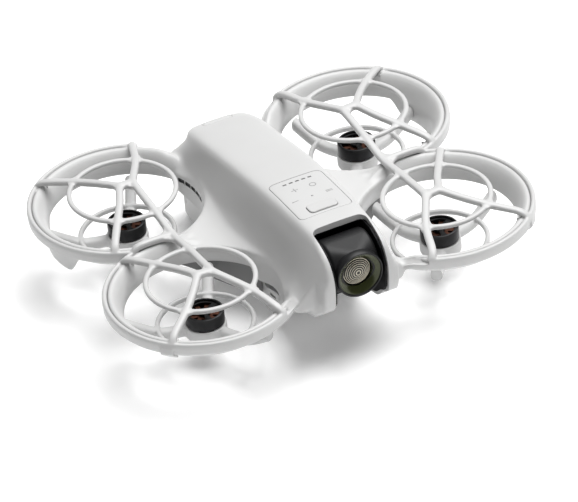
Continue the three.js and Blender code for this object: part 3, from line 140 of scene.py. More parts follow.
white = (0.51, 0.51, 0.5075)
finishes = {
    "shellWhite": {"color": white, "rough": 0.46,
                   "vary": 0.02, "grain": 0.35, "grainSize": 0.12},
    "guardWhite": {"color": white, "rough": 0.42,
                   "vary": 0.02, "grain": 0.2, "grainSize": 0.15},
    "frameWhite": {"color": white, "rough": 0.5,
                   "vary": 0.02, "grain": 0.3, "grainSize": 0.12},
    "buttonWhite": {"color": white, "rough": 0.4,
                    "vary": 0.01, "grain": 0.2, "grainSize": 0.12},
    "motorBlack": {"color": (0.012, 0.012, 0.013), "rough": 0.36, "metal": 0.6,
                   "vary": 0.3, "grain": 0.1, "grainSize": 0.2},
    "linerBlack": {"color": (0.004, 0.004, 0.005), "rough": 0.5, "gloss": 0.12,
                   "vary": 0.2, "grain": 0.05, "grainSize": 0.3},
    "cameraGrey": {"color": (0.009, 0.0092, 0.0098), "rough": 0.46, "gloss": 0.3,
                   "vary": 0.15, "grain": 0.4, "grainSize": 0.1},
    # black of the vent grille, also used as painted shade on the sheet behind the louver slots
    "ventBlack": {"color": (0.006, 0.006, 0.007), "rough": 0.6,
                  "vary": 0.2, "grain": 0.3, "grainSize": 0.2},
    "bezelGreen": {"color": (0.030, 0.036, 0.008), "rough": 0.2, "metal": 0.3,
                   "vary": 0.2, "grain": 0.05, "grainSize": 0.3},
    "copper": {"color": (0.12, 0.05, 0.032), "rough": 0.42, "metal": 0.9,
               "vary": 0.25, "grain": 1.0, "grainSize": 0.25},
    "steel": {"color": (0.62, 0.62, 0.63), "rough": 0.24, "metal": 1.0,
              "vary": 0.08, "grain": 0.2, "grainSize": 0.1},
    "aluminium": {"color": (0.56, 0.57, 0.58), "rough": 0.38, "metal": 0.9,
                  "vary": 0.08, "grain": 0.3, "grainSize": 0.15},
    "boardGreen": {"color": (0.012, 0.075, 0.03), "rough": 0.45,
                   "vary": 0.4, "grain": 0.5, "grainSize": 0.8},
    "cellSilver": {"color": (0.55, 0.56, 0.58), "rough": 0.35, "metal": 0.7,
                   "vary": 0.1, "grain": 0.6, "grainSize": 0.9},
    "ceramic": {"color": (0.6, 0.56, 0.45), "rough": 0.55,
                "vary": 0.1, "grain": 0.3, "grainSize": 0.3},
    "markGrey": {"color": (0.26, 0.26, 0.26), "rough": 0.5,
                 "vary": 0.05, "grain": 0.1, "grainSize": 0.2},
    # painted shade: the web's root is white plastic, coloured grey here to stand in for the shade in its recess
    # under the web
    "paintedRootShade": {"color": (0.19, 0.19, 0.19), "rough": 0.5,
                 "vary": 0.08, "grain": 0.3, "grainSize": 0.12},
    "lightGrey": {"color": (0.2, 0.2, 0.2), "rough": 0.4,
                  "vary": 0.1, "grain": 0.1, "grainSize": 0.3},
    # painted reflection: pale rings standing in for the glints inside the lens
    "ringReflection": {"color": (0.72, 0.67, 0.54), "rough": 0.4, "metal": 0.3,
                 "vary": 0.1, "grain": 0.05, "grainSize": 0.4},
    "barrelBrown": {"color": (0.018, 0.016, 0.012), "rough": 0.4,
                    "vary": 0.1, "grain": 0.05, "grainSize": 0.4},
}
surface = {
    "cloudScale": 90,
    "cloudDetail": 3,
    "cloudSpan": (0.3, 0.7),
    "roughSpread": 0.04,
    "grainDetail": 2,
    "grainDepth": 0.004,
}


# A moulded or turned surface: its colour and gloss wander a little, and a fine grain breaks the light.
def makeFinish(name):
    facts = finishes[name]
    paint = bpy.data.materials.new(name)
    paint.use_nodes = True
    tree = paint.node_tree
    shader = tree.nodes["Principled BSDF"]
    shader.inputs["Metallic"].default_value = facts.get("metal", 0)
    shader.inputs["Specular IOR Level"].default_value = facts.get("gloss", 0.5)
    place = tree.nodes.new("ShaderNodeTexCoord")
    cloud = tree.nodes.new("ShaderNodeTexNoise")
    cloud.inputs["Scale"].default_value = surface["cloudScale"]
    cloud.inputs["Detail"].default_value = surface["cloudDetail"]
    tree.links.new(place.outputs["Object"], cloud.inputs["Vector"])
    ramp = tree.nodes.new("ShaderNodeMapRange")
    ramp.inputs["From Min"].default_value, ramp.inputs["From Max"].default_value = surface["cloudSpan"]
    ramp.inputs["To Min"].default_value = 1 - facts["vary"]
    ramp.inputs["To Max"].default_value = 1
    tree.links.new(cloud.outputs["Fac"], ramp.inputs["Value"])
    tint = tree.nodes.new("ShaderNodeVectorMath")
    tint.operation = "SCALE"
    tint.inputs[0].default_value = facts["color"]
    tree.links.new(ramp.outputs["Result"], tint.inputs["Scale"])
    tree.links.new(tint.outputs["Vector"], shader.inputs["Base Color"])
    gloss = tree.nodes.new("ShaderNodeMapRange")
    gloss.inputs["To Min"].default_value = facts["rough"] - surface["roughSpread"]
    gloss.inputs["To Max"].default_value = facts["rough"] + surface["roughSpread"]
    tree.links.new(cloud.outputs["Fac"], gloss.inputs["Value"])
    tree.links.new(gloss.outputs["Result"], shader.inputs["Roughness"])
    grain = tree.nodes.new("ShaderNodeTexNoise")
    grain.inputs["Scale"].default_value = 1 / (facts["grainSize"] * mm)
    grain.inputs["Detail"].default_value = surface["grainDetail"]
    tree.links.new(place.outputs["Object"], grain.inputs["Vector"])
    bump = tree.nodes.new("ShaderNodeBump")
    bump.inputs["Strength"].default_value = facts["grain"]
    bump.inputs["Distance"].default_value = surface["grainDepth"] * mm
    tree.links.new(grain.outputs["Fac"], bump.inputs["Height"])
    tree.links.new(bump.outputs["Normal"], shader.inputs["Normal"])
    return paint


glass = {
    "rough": 0.02,
    "bend": 1.3,
    "alpha": 0.12,
    "coatScale": 60,
    "tints": [(0.02, 0.018, 0.01, 1), (0.012, 0.018, 0.01, 1)],
}


# Coated lens glass, faintly warm.
def makeGlass():
    paint = bpy.data.materials.new("lensGlass")
    paint.use_nodes = True
    tree = paint.node_tree
    shader = tree.nodes["Principled BSDF"]
    shader.inputs["Roughness"].default_value = glass["rough"]
    shader.inputs["IOR"].default_value = glass["bend"]
    shader.inputs["Alpha"].default_value = glass["alpha"]
    place = tree.nodes.new("ShaderNodeTexCoord")
    coat = tree.nodes.new("ShaderNodeTexNoise")
    coat.inputs["Scale"].default_value = glass["coatScale"]
    tree.links.new(place.outputs["Object"], coat.inputs["Vector"])
    tint = tree.nodes.new("ShaderNodeMix")
    tint.data_type = "RGBA"
    tint.inputs["A"].default_value, tint.inputs["B"].default_value = glass["tints"]
    tree.links.new(coat.outputs["Fac"], tint.inputs["Factor"])
    tree.links.new(tint.outputs["Result"], shader.inputs["Base Color"])
    return paint


paints = {name: makeFinish(name) for name in finishes}
paints["lensGlass"] = makeGlass()
print("materials ready:", len(paints))

# Making and joining shapes


def mix(a, b, share):
    return a + (b - a) * share


def smoothStep(value, low, high):
    share = min(1, max(0, (value - low) / (high - low)))
    return share * share * (3 - 2 * share)


# Smooth values between the rows of a table, each row a place followed by its values.
def rowAt(rows, place):
    last = len(rows) - 1
    i = max(0, min(last - 1, sum(1 for row in rows if row[0] <= place) - 1))
    slope = []
    for k in (i, i + 1):
        a, b = rows[max(0, k - 1)], rows[min(last, k + 1)]
        slope.append([(q - p) / (b[0] - a[0]) for p, q in zip(a[1:], b[1:])])
    start, end = rows[i], rows[i + 1]
    span = end[0] - start[0]
    t = min(1, max(0, (place - start[0]) / span))
    values = []
    for p, q, m, n in zip(start[1:], end[1:], slope[0], slope[1]):
        values.append((2 * t**3 - 3 * t**2 + 1) * p + (t**3 - 2 * t**2 + t) * span * m
                      + (3 * t**2 - 2 * t**3) * q + (t**3 - t**2) * span * n)
    return values


# A smooth line through points in a plane or in space.
def smoothLine(points, steps):
    line = []
    for i in range(len(points) - 1):
        p0, p1, p2, p3 = (Vector(points[max(0, min(len(points) - 1, k))]) for k in (i - 1, i, i + 1, i + 2))
        for s in range(steps):
            t = s / steps
            line.append(0.5 * (2 * p1 + (p2 - p0) * t + (2 * p0 - 5 * p1 + 4 * p2 - p3) * t**2
                               + (3 * p1 - p0 - 3 * p2 + p3) * t**3))
    return line + [Vector(points[-1])]


# A ring of points carried from section to section, with an end cap at both ends or joined into a loop.
def loft(rings, looped=False):
    bm = bmesh.new()
    ring = [bm.verts.new(p) for p in rings[0]]
    edges = [bm.edges.new((a, b)) for a, b in zip(ring, ring[1:] + ring[:1])]
    firstEdges = edges
    for points in rings[1:]:
        made = bmesh.ops.extrude_edge_only(bm, edges=edges)["geom"]
        fresh = {v for v in made if isinstance(v, bmesh.types.BMVert)}
        edges = [e for e in made if isinstance(e, bmesh.types.BMEdge) and fresh.issuperset(e.verts)]
        ring = [next(e.other_vert(v) for e in v.link_edges if e.other_vert(v) in fresh) for v in ring]
        for v, p in zip(ring, points):
            v.co = p
    if looped:
        bmesh.ops.bridge_loops(bm, edges=edges + firstEdges)
    else:
        bmesh.ops.contextual_create(bm, geom=firstEdges)
        bmesh.ops.contextual_create(bm, geom=edges)
    bmesh.ops.recalc_face_normals(bm, faces=bm.faces)
    return bm


# A profile of (radius, height) points spun about Z.
def spun(profile, steps=96):
    bm = bmesh.new()
    points = [bm.verts.new((r, 0, z)) for r, z in profile]
    for a, b in zip(points, points[1:] + points[:1]):
        bm.edges.new((a, b))
    bmesh.ops.spin(bm, geom=bm.verts[:] + bm.edges[:], cent=(0, 0, 0), axis=(0, 0, 1), angle=math.tau,
                   steps=steps, use_merge=True)
    bmesh.ops.remove_doubles(bm, verts=bm.verts, dist=0.0001)
    bmesh.ops.recalc_face_normals(bm, faces=bm.faces)
    return bm


# Pushes an oval towards a rectangle with round corners.
def squarer(value):
    return math.copysign(abs(value)**0.75, value)


# An upright rod of oval section along a line. Its half width and half depth may change along it.
def swept(line, halfWidths, halfDepths, sides=12, looped=False):
    rings = []
    count = len(line)
    for i, place in enumerate(line):
        before = line[i - 1] if i or looped else line[0]
        after = line[(i + 1) % count] if i < count - 1 or looped else line[-1]
        along = (after - before).normalized()
        sideways = along.cross(Vector((0, 0, 1))).normalized()
        upright = sideways.cross(along)
        share = i / max(1, count - 1)
        wide = sampled(halfWidths, share)
        deep = sampled(halfDepths, share)
        turns = [math.tau * k / sides for k in range(sides)]
        rings.append([place + sideways * wide * squarer(math.cos(turn)) + upright * deep * squarer(math.sin(turn))
                      for turn in turns])
    return loft(rings, looped)


def sampled(values, share):
    if not isinstance(values, (list, tuple)):
        return values
    at = share * (len(values) - 1)
    low = min(int(at), len(values) - 2)
    return mix(values[low], values[low + 1], at - low)


# An outline in plan raised between two heights, or one in the side view carried across.
def prism(outline, low, high, axis="Z"):
    bm = bmesh.new()
    points = [bm.verts.new((p[0], p[1], low) if axis == "Z" else (low, p[0], p[1])) for p in outline]
    face = bm.faces.new(points)
    made = bmesh.ops.extrude_face_region(bm, geom=[face])["geom"]
    shift = (0, 0, high - low) if axis == "Z" else (high - low, 0, 0)
    bmesh.ops.translate(bm, verts=[v for v in made if isinstance(v, bmesh.types.BMVert)], vec=shift)
    bmesh.ops.recalc_face_normals(bm, faces=bm.faces)
    return bm


def roundedPlan(half, y0, y1, radius, steps=8):
    outline = []
    for cx, cy, start in ((half - radius, y1 - radius, 0), (radius - half, y1 - radius, 1),
                          (radius - half, y0 + radius, 2), (half - radius, y0 + radius, 3)):
        for k in range(steps + 1):
            turn = (start + k / steps) * math.pi / 2
            outline.append((cx + radius * math.cos(turn), cy + radius * math.sin(turn)))
    return outline


def cylinder(radius, low, high, place=(0, 0), steps=128):
    x, y = place
    turns = [math.tau * k / steps for k in range(steps)]
    return prism([(x + radius * math.cos(turn), y + radius * math.sin(turn)) for turn in turns], low, high)


def moved(bm, matrix):
    bmesh.ops.transform(bm, matrix=matrix, verts=bm.verts)
    if matrix.determinant() < 0:
        bmesh.ops.reverse_faces(bm, faces=bm.faces)
    return bm


def together(parts):
    whole = bmesh.new()
    for bm in parts:
        mesh = bpy.data.meshes.new("part")
        bm.to_mesh(mesh)
        bm.free()
        whole.from_mesh(mesh)
        bpy.data.meshes.remove(mesh)
    return whole


def objectOf(bm, name="work"):
    mesh = bpy.data.meshes.new(name)
    bm.to_mesh(mesh)
    bm.free()
    thing = bpy.data.objects.new(name, mesh)
    bpy.context.scene.collection.objects.link(thing)
    return thing


# Takes the mesh out of an object and removes the object.
def meshOf(thing):
    bm = bmesh.new()
    bm.from_mesh(thing.data)
    bpy.data.objects.remove(thing)
    return bm


# Applies an object's modifiers to its mesh.
def settled(thing):
    bpy.context.view_layer.update()
    graph = bpy.context.evaluated_depsgraph_get()
    fresh = bpy.data.meshes.new_from_object(thing.evaluated_get(graph))
    thing.modifiers.clear()
    old, thing.data = thing.data, fresh
    bpy.data.meshes.remove(old)
    return thing


def cutBy(thing, cutters, operation="DIFFERENCE"):
    for bm in cutters:
        knife = objectOf(bm, "knife")
        cut = thing.modifiers.new("cut", "BOOLEAN")
        cut.operation = operation
        cut.solver = "EXACT"
        cut.object = knife
        settled(thing)
        bpy.data.objects.remove(knife)
    return thing


# Joins overlapping shells into one skin with soft inner corners.
def melted(thing, voxel, smoothing):
    remesh = thing.modifiers.new("remesh", "REMESH")
    remesh.mode = "VOXEL"
    remesh.voxel_size = voxel
    soften = thing.modifiers.new("soften", "SMOOTH")
    soften.factor = 0.5
    soften.iterations = smoothing
    return settled(thing)


# Names a finished object, scales it to metres and hangs it on its body.
def finished(thing, name, paint, body, replaced=(), sharp=50):
    thing.name = name
    thing.data.name = name
    thing.data.transform(Matrix.Scale(mm, 4))
    thing.data.materials.clear()
    thing.data.materials.append(paints[paint])
    thing.data.polygons.foreach_set("use_smooth", [True] * len(thing.data.polygons))
    if sharp < 180:
        thing.data.set_sharp_from_angle(angle=math.radians(sharp))
    thing.data.update()
    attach(thing, body)
    if replaced:
        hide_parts(*replaced)
    return thing


def ductPlace(side, end):
    return side * craft["ductX"], end * craft["ductY"]


# A point near a duct: the angle runs from the body outward past the craft's end, the height from the motor's top.
def nearDuct(corner, angle, radius, height):
    side, end = craft["corners"][corner]
    turn = math.radians(angle)
    return Vector((side * (craft["ductX"] - radius * math.cos(turn)),
                   end * (craft["ductY"] + radius * math.sin(turn)), craft["motorPlane"] + height))


# Body skin: the fuselage, the webs and the roots of the ducts, one soft moulding

# Each row: place along the craft, roof height and half width, shoulder height and half width,
# half width of the side below it, height of the underside.
bodyRows = [
    (-63.1, 45.7, 9.96, 34.77, 14.0, 13.86, 20.4),
    (-58.2, 47.2, 10.32, 34.77, 14.4, 14.19, 19.4),
    (-55.9, 47.7, 10.42, 33.83, 14.8, 14.40, 18.4),
    (-53.3, 48.0, 10.51, 26.59, 20.0, 14.80, 17.2),
    (-47.3, 48.4, 10.61, 27.16, 20.0, 15.59, 16.0),
    (-41.3, 48.5, 10.80, 24.43, 20.0, 16.20, 14.2),
    (-35.3, 48.4, 11.00, 23.21, 20.0, 16.50, 9.5),
    (-28.3, 48.1, 11.21, 23.21, 20.0, 16.50, 4.2),
    (-20.2, 47.6, 11.50, 24.15, 20.0, 16.50, 0.0),
    (-12.2, 46.9, 11.70, 25.56, 20.0, 16.50, 0.0),
    (-4.7, 46.0, 11.90, 26.50, 20.0, 16.50, 0.0),
    (2.9, 44.9, 12.00, 26.50, 20.0, 16.50, 0.0),
    (10.9, 43.6, 12.00, 25.56, 20.0, 16.50, 0.0),
    (19.1, 42.2, 12.00, 24.15, 20.0, 16.50, 0.0),
    (27.1, 40.8, 12.00, 23.21, 20.0, 16.50, 0.0),
    (35.2, 39.4, 12.00, 23.21, 20.0, 16.50, 0.0),
    (42.3, 37.8, 11.80, 24.15, 20.0, 16.50, 0.0),
    (47.3, 36.2, 11.10, 26.40, 20.0, 16.00, 0.6),
    (51.0, 34.6, 9.60, 26.78, 19.6, 14.60, 1.9),
    (52.6, 33.4, 8.20, 27.72, 14.2, 13.00, 3.4),
    (53.9, 31.8, 6.20, 27.91, 11.6, 11.01, 5.5),
    (54.6, 30.1, 3.60, 27.34, 8.4, 8.00, 8.5),
]
skin = {
    "roofLine": [(0, 0), (0.58, 0.03), (0.93, 0.13), (1.07, 0.4), (1.15, 0.9)],
    "flankLine": [(0.25, 0.45), (0.55, 0.8), (1, 1)],
    "roofEdge": 5,
    "shoulderDepth": 7.5,
    "keel": 3,
    "step": 1.0,
    "cheekLine": [(-39.0, 53.6), (-46.3, 49.9), (-50.0, 47.6), (-53.6, 46.5), (-57.9, 44.5), (-60.6, 42.2),
                  (-62.3, 39.0), (-63.1, 35.1), (-62.8, 30.3), (-61.9, 25.9), (-60.4, 23.8), (-57.5, 22.2),
                  (-52.4, 17.6), (-46.1, 15.8), (-39.0, 11.6)],
    "beforeNose": [(-39, -5), (-80, -5), (-80, 70), (-39, 70)],  # closes the cheek line in front of the nose
    "noseHalf": 60,
    "bay": {"half": 10, "roofFront": -46.8, "back": -40.5, "ceiling": 46.1, "round": 2.6},
    "batteryBay": [(90, 1.8), (-21, 1.8), (-31, 8.4), (-31, 25.7), (90, 25.7)],
    "batteryHalf": 14.4,
    "belly": [(-12.6, -20), (12.6, -20), (12.6, 60), (-12.6, 60)],
    "bellyHeights": (-3, 2.1),
    "tail": (43.3, 25.55, 20.15),  # the battery's own tail starts here: place, height and half width
    "ground": 0.05,
    "voxel": 0.62,
    "smoothing": 5,
}


def bodySection(y):
    top, roofHalf, shoulderZ, shoulder, side, bottom = rowAt(bodyRows, y)
    edge = skin["roofEdge"] * roofHalf / 12
    line = [(x * roofHalf, top - z * edge) for x, z in skin["roofLine"]]
    edgeX, edgeZ = line[-1]
    line += [(mix(edgeX, shoulder, x), mix(edgeZ, shoulderZ, z)) for x, z in skin["flankLine"]]
    half = [(p.x, p.y) for p in smoothLine(line, 4)]
    keel = skin["keel"]
    half.append((shoulder, max(shoulderZ - skin["shoulderDepth"], bottom + 1.6 * keel)))
    half.append((side, max(shoulderZ - 1.3 * skin["shoulderDepth"], bottom + 1.3 * keel)))
    half.append((side, bottom + keel))
    half.append((side - 0.3 * keel, bottom + 0.3 * keel))
    half.append((side - keel, bottom))
    half.append((0, bottom))
    return [Vector((x, y, z)) for x, z in half] + [Vector((-x, y, z)) for x, z in half[-2:0:-1]]


def bodyForm():
    first, last = bodyRows[0][0], bodyRows[-1][0]
    count = round((last - first) / skin["step"])
    return loft([bodySection(mix(first, last, i / count)) for i in range(count + 1)])


lip = {
    "line": [(26.9, 0.9), (26.9, 2.0), (27.15, 3.6), (27.6, 5.2), (28.25, 6.7), (29.05, 8.0), (29.9, 8.95),
             (30.7, 9.4), (31.35, 9.3), (31.7, 8.8), (31.75, 7.7), (33.6, 7.5), (33.6, 5.9), (32.7, 4.9),
             (28.7, 2.0), (27.7, 0.9)],
    "outside": 8,  # the points from here on are the outer side
    "rises": [(0, 0.34), (20, 0.36), (36, 0.7), (50, 1), (275, 1), (300, 0.62), (335, 0.36), (360, 0.34)],
    "rearRises": [(0, 0.34), (14, 0.38), (31, 0.86), (42, 1), (275, 1), (300, 0.62), (335, 0.36), (360, 0.34)],
    "foot": 0.9,
    "skirt": 6.4,  # how much lower a rear duct reaches on its outer side
    "skirtTurn": (177, 34, 12),  # the skirt's middle, half width and fade, in degrees
    "steps": 120,
    "collarTurns": (-82, 58, 4),
    "collarGrowth": 0.12,
}


def lipRise(corner, angle):
    rows = lip["rises" if craft["corners"][corner][1] < 0 else "rearRises"]
    angle %= 360
    for (a, p), (b, q) in zip(rows, rows[1:]):
        if angle <= b:
            return mix(p, q, smoothStep(angle, a, b))
    return rows[-1][1]


def lipProfile(corner, angle, growth=0):
    rise = lipRise(corner, angle)
    middle, half, fade = lip["skirtTurn"]
    away = abs((angle - middle + 180) % 360 - 180)
    drop = lip["skirt"] * smoothStep(half - away, 0, fade) if craft["corners"][corner][1] > 0 else 0
    points = []
    for i, (radius, height) in enumerate(lip["line"]):
        z = mix(lip["foot"], height, rise) + growth
        if i in (0, len(lip["line"]) - 1):
            z = lip["foot"] - drop
        points.append(nearDuct(corner, angle, radius + (growth if i >= lip["outside"] else 0), z))
    return points


def ductRing(corner):
    steps = lip["steps"]
    return loft([lipProfile(corner, 360 * i / steps) for i in range(steps)], looped=True)


# The part of a duct's lip that melts into the body.
def ductCollar(corner):
    return loft([lipProfile(corner, angle, lip["collarGrowth"]) for angle in range(*lip["collarTurns"])])


web = {
    "inner": 17,
    "end": 30,
    "top": 6.6,  # above the motor tops
    "thickness": 5,
    "hole": 27.6,
    "holeHeights": (0, 60),
    "underside": [(17, 25), (45, 25), (45, 21.4), (40, 20), (35, 16.6), (30, 12.4), (25, 9.6), (17, 8.4)],
    "rootEnd": 17.6,
    "recess": 28.6,  # the root's wall stands back from the duct's throat
}


def webPlate(side):
    near, far, end = side * web["inner"], side * craft["ductX"], web["end"]
    top = craft["motorPlane"] + web["top"]
    plate = objectOf(prism([(near, -end), (far, -end), (far, end), (near, end)], top - web["thickness"], top))
    return cutBy(plate, [cylinder(web["hole"], *web["holeHeights"], ductPlace(side, way)) for way in (-1, 1)])


# The thick root below the web, between the front and the rear duct, that runs down the body's side.
def webRoot(side):
    outline = [(side * x, z) for x, z in web["underside"]]
    root = moved(prism(outline, -web["rootEnd"], web["rootEnd"]), Matrix.Rotation(math.pi / 2, 4, "X"))
    return cutBy(objectOf(root), [cylinder(web["recess"], below, above, ductPlace(side, way)) for way in (-1, 1)])


# A piece of ring round a duct's axis, between two turns, two radii and two heights.
def arcBlock(corner, turns, radii, heights, steps=8):
    start, end = turns
    (inner, outer), (low, high) = radii, heights
    return loft([[nearDuct(corner, mix(start, end, i / steps), r, z)
                  for r, z in ((inner, low), (outer, low), (outer, high), (inner, high))] for i in range(steps + 1)])


slots = {
    "ventTurns": (-15, 22.5),
    "ventCount": 5,
    "ventBar": 0.7,
    "ventHeights": (1.05, 2.75),
    "ventReach": (-2, 1.7),  # before and behind the throat's wall
    "louvers": [[(-19.0, 15.9), (-24.5, 17.0), (-29.5, 17.9), (-33.0, 17.9), (-34.0, 16.6), (-31.0, 16.4),
                 (-26.0, 15.5), (-19.2, 14.6)],
                [(-20.6, 13.2), (-25.0, 13.9), (-29.0, 14.6), (-33.6, 15.0), (-33.6, 14.2), (-30.9, 13.6),
                 (-25.5, 12.6), (-20.3, 11.6)],
                [(-22.4, 10.9), (-27.0, 11.6), (-27.0, 10.6), (-22.4, 9.9)]],
    "louverReach": (15.2, 20),
    "louverShade": {"across": (14.95, 15.5), "outline": [(-35.0, 12.2), (-35.0, 18.8), (-18.2, 15.8), (-18.2, 9.2)]},
}


def ventCutters(corner):
    start, end = slots["ventTurns"]
    count = slots["ventCount"]
    pitch = (end - start) / count
    radii = [craft["throat"] + reach for reach in slots["ventReach"]]
    blocks = []
    for i in range(count):
        turns = (start + i * pitch + slots["ventBar"] / 2, start + (i + 1) * pitch - slots["ventBar"] / 2)
        blocks.append(arcBlock(corner, turns, radii, slots["ventHeights"]))
    return blocks


def louverCutters():
    near, far = slots["louverReach"]
    cutters = []
    for outline in slots["louvers"]:
        for side in (-1, 1):
            cutters.append(prism(outline, *sorted((side * near, side * far)), "X"))
    return cutters


# A dark sheet behind the louver slots: painted shade standing in for the dark inside of the body.
def louverShade(side):
    facts = slots["louverShade"]
    return objectOf(prism(facts["outline"], *sorted(side * x for x in facts["across"]), "X"))


controls = {
    "panel": {"half": 9.8, "ends": (-39.7, -13.8), "round": 2.0},
    "panelGap": 0.17,
    "panelRound": 0.12,
    "pocketFloor": 44.6,
    "panelFloor": 44.9,
    "mode": {"half": 5.2, "ends": (-38.3, -33.2), "round": 1.5},
    "modeHole": 30,
    "modeFloor": 45.2,
    "modeLift": 0.45,
    "modeRound": 0.3,
    "power": {"half": 5.5, "ends": (45.9, 49.7), "round": 1.8},
    "powerFloor": 33.6,
    "powerBase": 34.2,
    "lights": {"row": -16.6, "pitch": 2.35, "half": (0.7, 0.4), "count": 5},
    "marks": {"farRow": (3.4, -21.8), "nearRow": (6.4, -28.4), "size": 1.2, "line": 0.26,
              "proud": 0.03, "sunk": -0.15},
    "cutHeights": (40, 60),
}


def planOf(facts, grow=0):
    y0, y1 = facts["ends"]
    return roundedPlan(facts["half"] + grow, y0 - grow, y1 + grow, facts["round"] + grow)


def makeSkin():
    form = objectOf(bodyForm())
    cheeks = [(p.x, p.y) for p in smoothLine(skin["cheekLine"], 4)]
    nose = prism(cheeks + skin["beforeNose"], -skin["noseHalf"], skin["noseHalf"], "X")
    batteryBay = prism(skin["batteryBay"], -skin["batteryHalf"], skin["batteryHalf"], "X")
    cutBy(form, [nose, batteryBay, prism(skin["belly"], *skin["bellyHeights"])])
    shells = [meshOf(thing) for thing in [form] + [webPlate(side) for side in (-1, 1)]]
    whole = objectOf(together(shells + [ductCollar(corner) for corner in craft["corners"]]))
    melted(whole, skin["voxel"], 0)
    cutBy(whole, [cylinder(craft["throat"], below, above, ductPlace(*ways)) for ways in craft["corners"].values()])
    melted(whole, skin["voxel"], skin["smoothing"])
    facts = skin["bay"]
    half = facts["half"]
    bay = prism(roundedPlan(half, -above, facts["roofFront"], facts["round"]), below, above)
    deepPlan = [(-half, -above), (half, -above), (half, facts["back"]), (-half, facts["back"])]
    deepBay = prism(deepPlan, below, facts["ceiling"])
    gap = controls["panelGap"]
    pocket = prism(planOf(controls["panel"], gap), controls["pocketFloor"], above)
    powerWell = prism(planOf(controls["power"], gap), controls["powerFloor"], above)
    tailY, tailZ, tailHalf = skin["tail"]
    tail = prism([(tailY, below), (above, below), (above, tailZ), (tailY, tailZ)], -tailHalf, tailHalf, "X")
    ground = prism([(-above, -above), (above, -above), (above, above), (-above, above)], below, skin["ground"])
    cutBy(whole, [bay, deepBay, pocket, powerWell, tail, ground] + louverCutters())
    return cutBy(whole, ventCutters("rear_right") + ventCutters("rear_left"))


body = makeSkin()
print("skin melted:", len(body.data.polygons), "faces")
finished(body, "body_skin", "shellWhite", "airframe", ["upper_shell", "lower_shell"])

for name, side in craft["sides"].items():
    # painted shade: the root is coloured grey for the shade in its recess under the web
    finished(webRoot(side), "web_root_" + name, "paintedRootShade", "airframe", sharp=30)
    # painted shade: a black sheet stands in for the shade inside the louver slots
    finished(louverShade(side), "louver_shade_" + name, "ventBlack", "airframe", sharp=30)

for corner in craft["corners"]:
    ring = objectOf(ductRing(corner))
    if craft["corners"][corner][1] > 0:
        cutBy(ring, ventCutters(corner))
    finished(ring, "duct_ring_" + corner, "shellWhite", "airframe", ["duct_" + corner])
print("ducts made")

# Guards: rods over each pair of ducts, melted into one moulding each side

guard = {
    "wireLine": 32.8,
    "wireHalf": (0.93, 1.62),
    "wireHeight": 8.12,
    "wireAngles": (57, 250),
    "wireSteps": 90,
    "ringRadius": 18.5,
    "ringHeight": 12.4,
    "ringHalf": (0.95, 0.85),
    "ringSteps": 80,
    "crown": 14.7,
    "kneeRadius": 29.5,
    "kneeHeight": 10.95,
    "endHeight": 8.75,
    "rodHalf": (1.42, 1.25),
    "rimDepth": 0.9,  # rods thin out towards the rim
    "spokes": [(131, 133), (240, 240)],  # angles at the inner ring and at the rim
    "longArm": (51, 59),
    "spineCross": (-77, None),
    "hubReach": 4.5,
    "linkHalf": 1.7,
    "hubTurns": [(14, 4.9), (-28, 4.7)],
    "filletReach": {"hub": 5, "link": 4.5, "ring": 1.6, "wire": 3.2, "tie": 1.8},
    "filletHalf": {"hub": 0.75, "ring": 0.6},
    "filletInset": 0.3,
    "footDrop": 0.4,
    "spine": 4.2,
    "spineHeight": 10.7,
    "bridgeHalf": 1.3,
    "bridgeBend": 0.8,
    "tieHalf": (0.95, 1.1),
    "tieLap": 0.5,
    "tieBow": 0.6,
    "clipAngle": 136,
    "clipHalf": 2.2,
    "clipRadius": 33,
    "clip": [(33.15, 8.9), (34.0, 8.2), (34.2, 5.6), (33.3, 4.4), (31.2, 2.9), (29.6, 1.3),
             (28.7, 1.55), (30.3, 3.15), (32.4, 4.65), (33.45, 5.6), (33.25, 8.2), (32.4, 8.9)],
    "voxel": 0.33,
    "smoothing": 3,
}


def domeHeight(radius):
    ringFall = (guard["crown"] - guard["ringHeight"]) / guard["ringRadius"]
    kneeFall = (guard["crown"] - guard["kneeHeight"]) / guard["kneeRadius"]
    curve = (kneeFall - ringFall) / (guard["kneeRadius"] - guard["ringRadius"])
    slope = ringFall - curve * guard["ringRadius"]
    return guard["crown"] - slope * radius - curve * radius**2


def domePoint(corner, angle, radius):
    return nearDuct(corner, angle, radius, domeHeight(radius))


def spoke(corner, ringAngle, rimAngle):
    ring, knee = guard["ringRadius"], guard["kneeRadius"]
    points = [domePoint(corner, 180, 1), domePoint(corner, ringAngle, ring / 2), domePoint(corner, ringAngle, ring),
              domePoint(corner, rimAngle, knee), nearDuct(corner, rimAngle, guard["wireLine"], guard["endHeight"])]
    wide, deep = guard["rodHalf"]
    return swept(smoothLine(points, 8), wide, [deep, deep, guard["rimDepth"]])


# Thin webs that round the inner corners where rods meet at one place.
def fillets(place, directions, radius, kind="hub"):
    wide = guard["rodHalf"][0] - guard["filletInset"]
    half = guard["filletHalf"][kind]
    turns = sorted(math.atan2(d.y, d.x) for d in directions)
    webs = []
    for a, b in zip(turns, turns[1:] + [turns[0] + math.tau]):
        if b - a > math.pi * 0.95:
            continue
        middle = (a + b) / 2
        opening = (b - a) / 2
        reach = (radius + wide) / math.sin(opening)
        centre = place + Vector((math.cos(middle), math.sin(middle), 0)) * reach
        outline = [place]
        for k in range(9):
            turn = mix(a - math.pi / 2, b - math.pi * 1.5, k / 8)
            outline.append(centre + Vector((math.cos(turn), math.sin(turn), 0)) * radius)
        webs.append(prism([(p.x, p.y) for p in outline], place.z - half, place.z + half))
    return webs


def level(vector):
    return Vector((vector.x, vector.y, 0)).normalized()


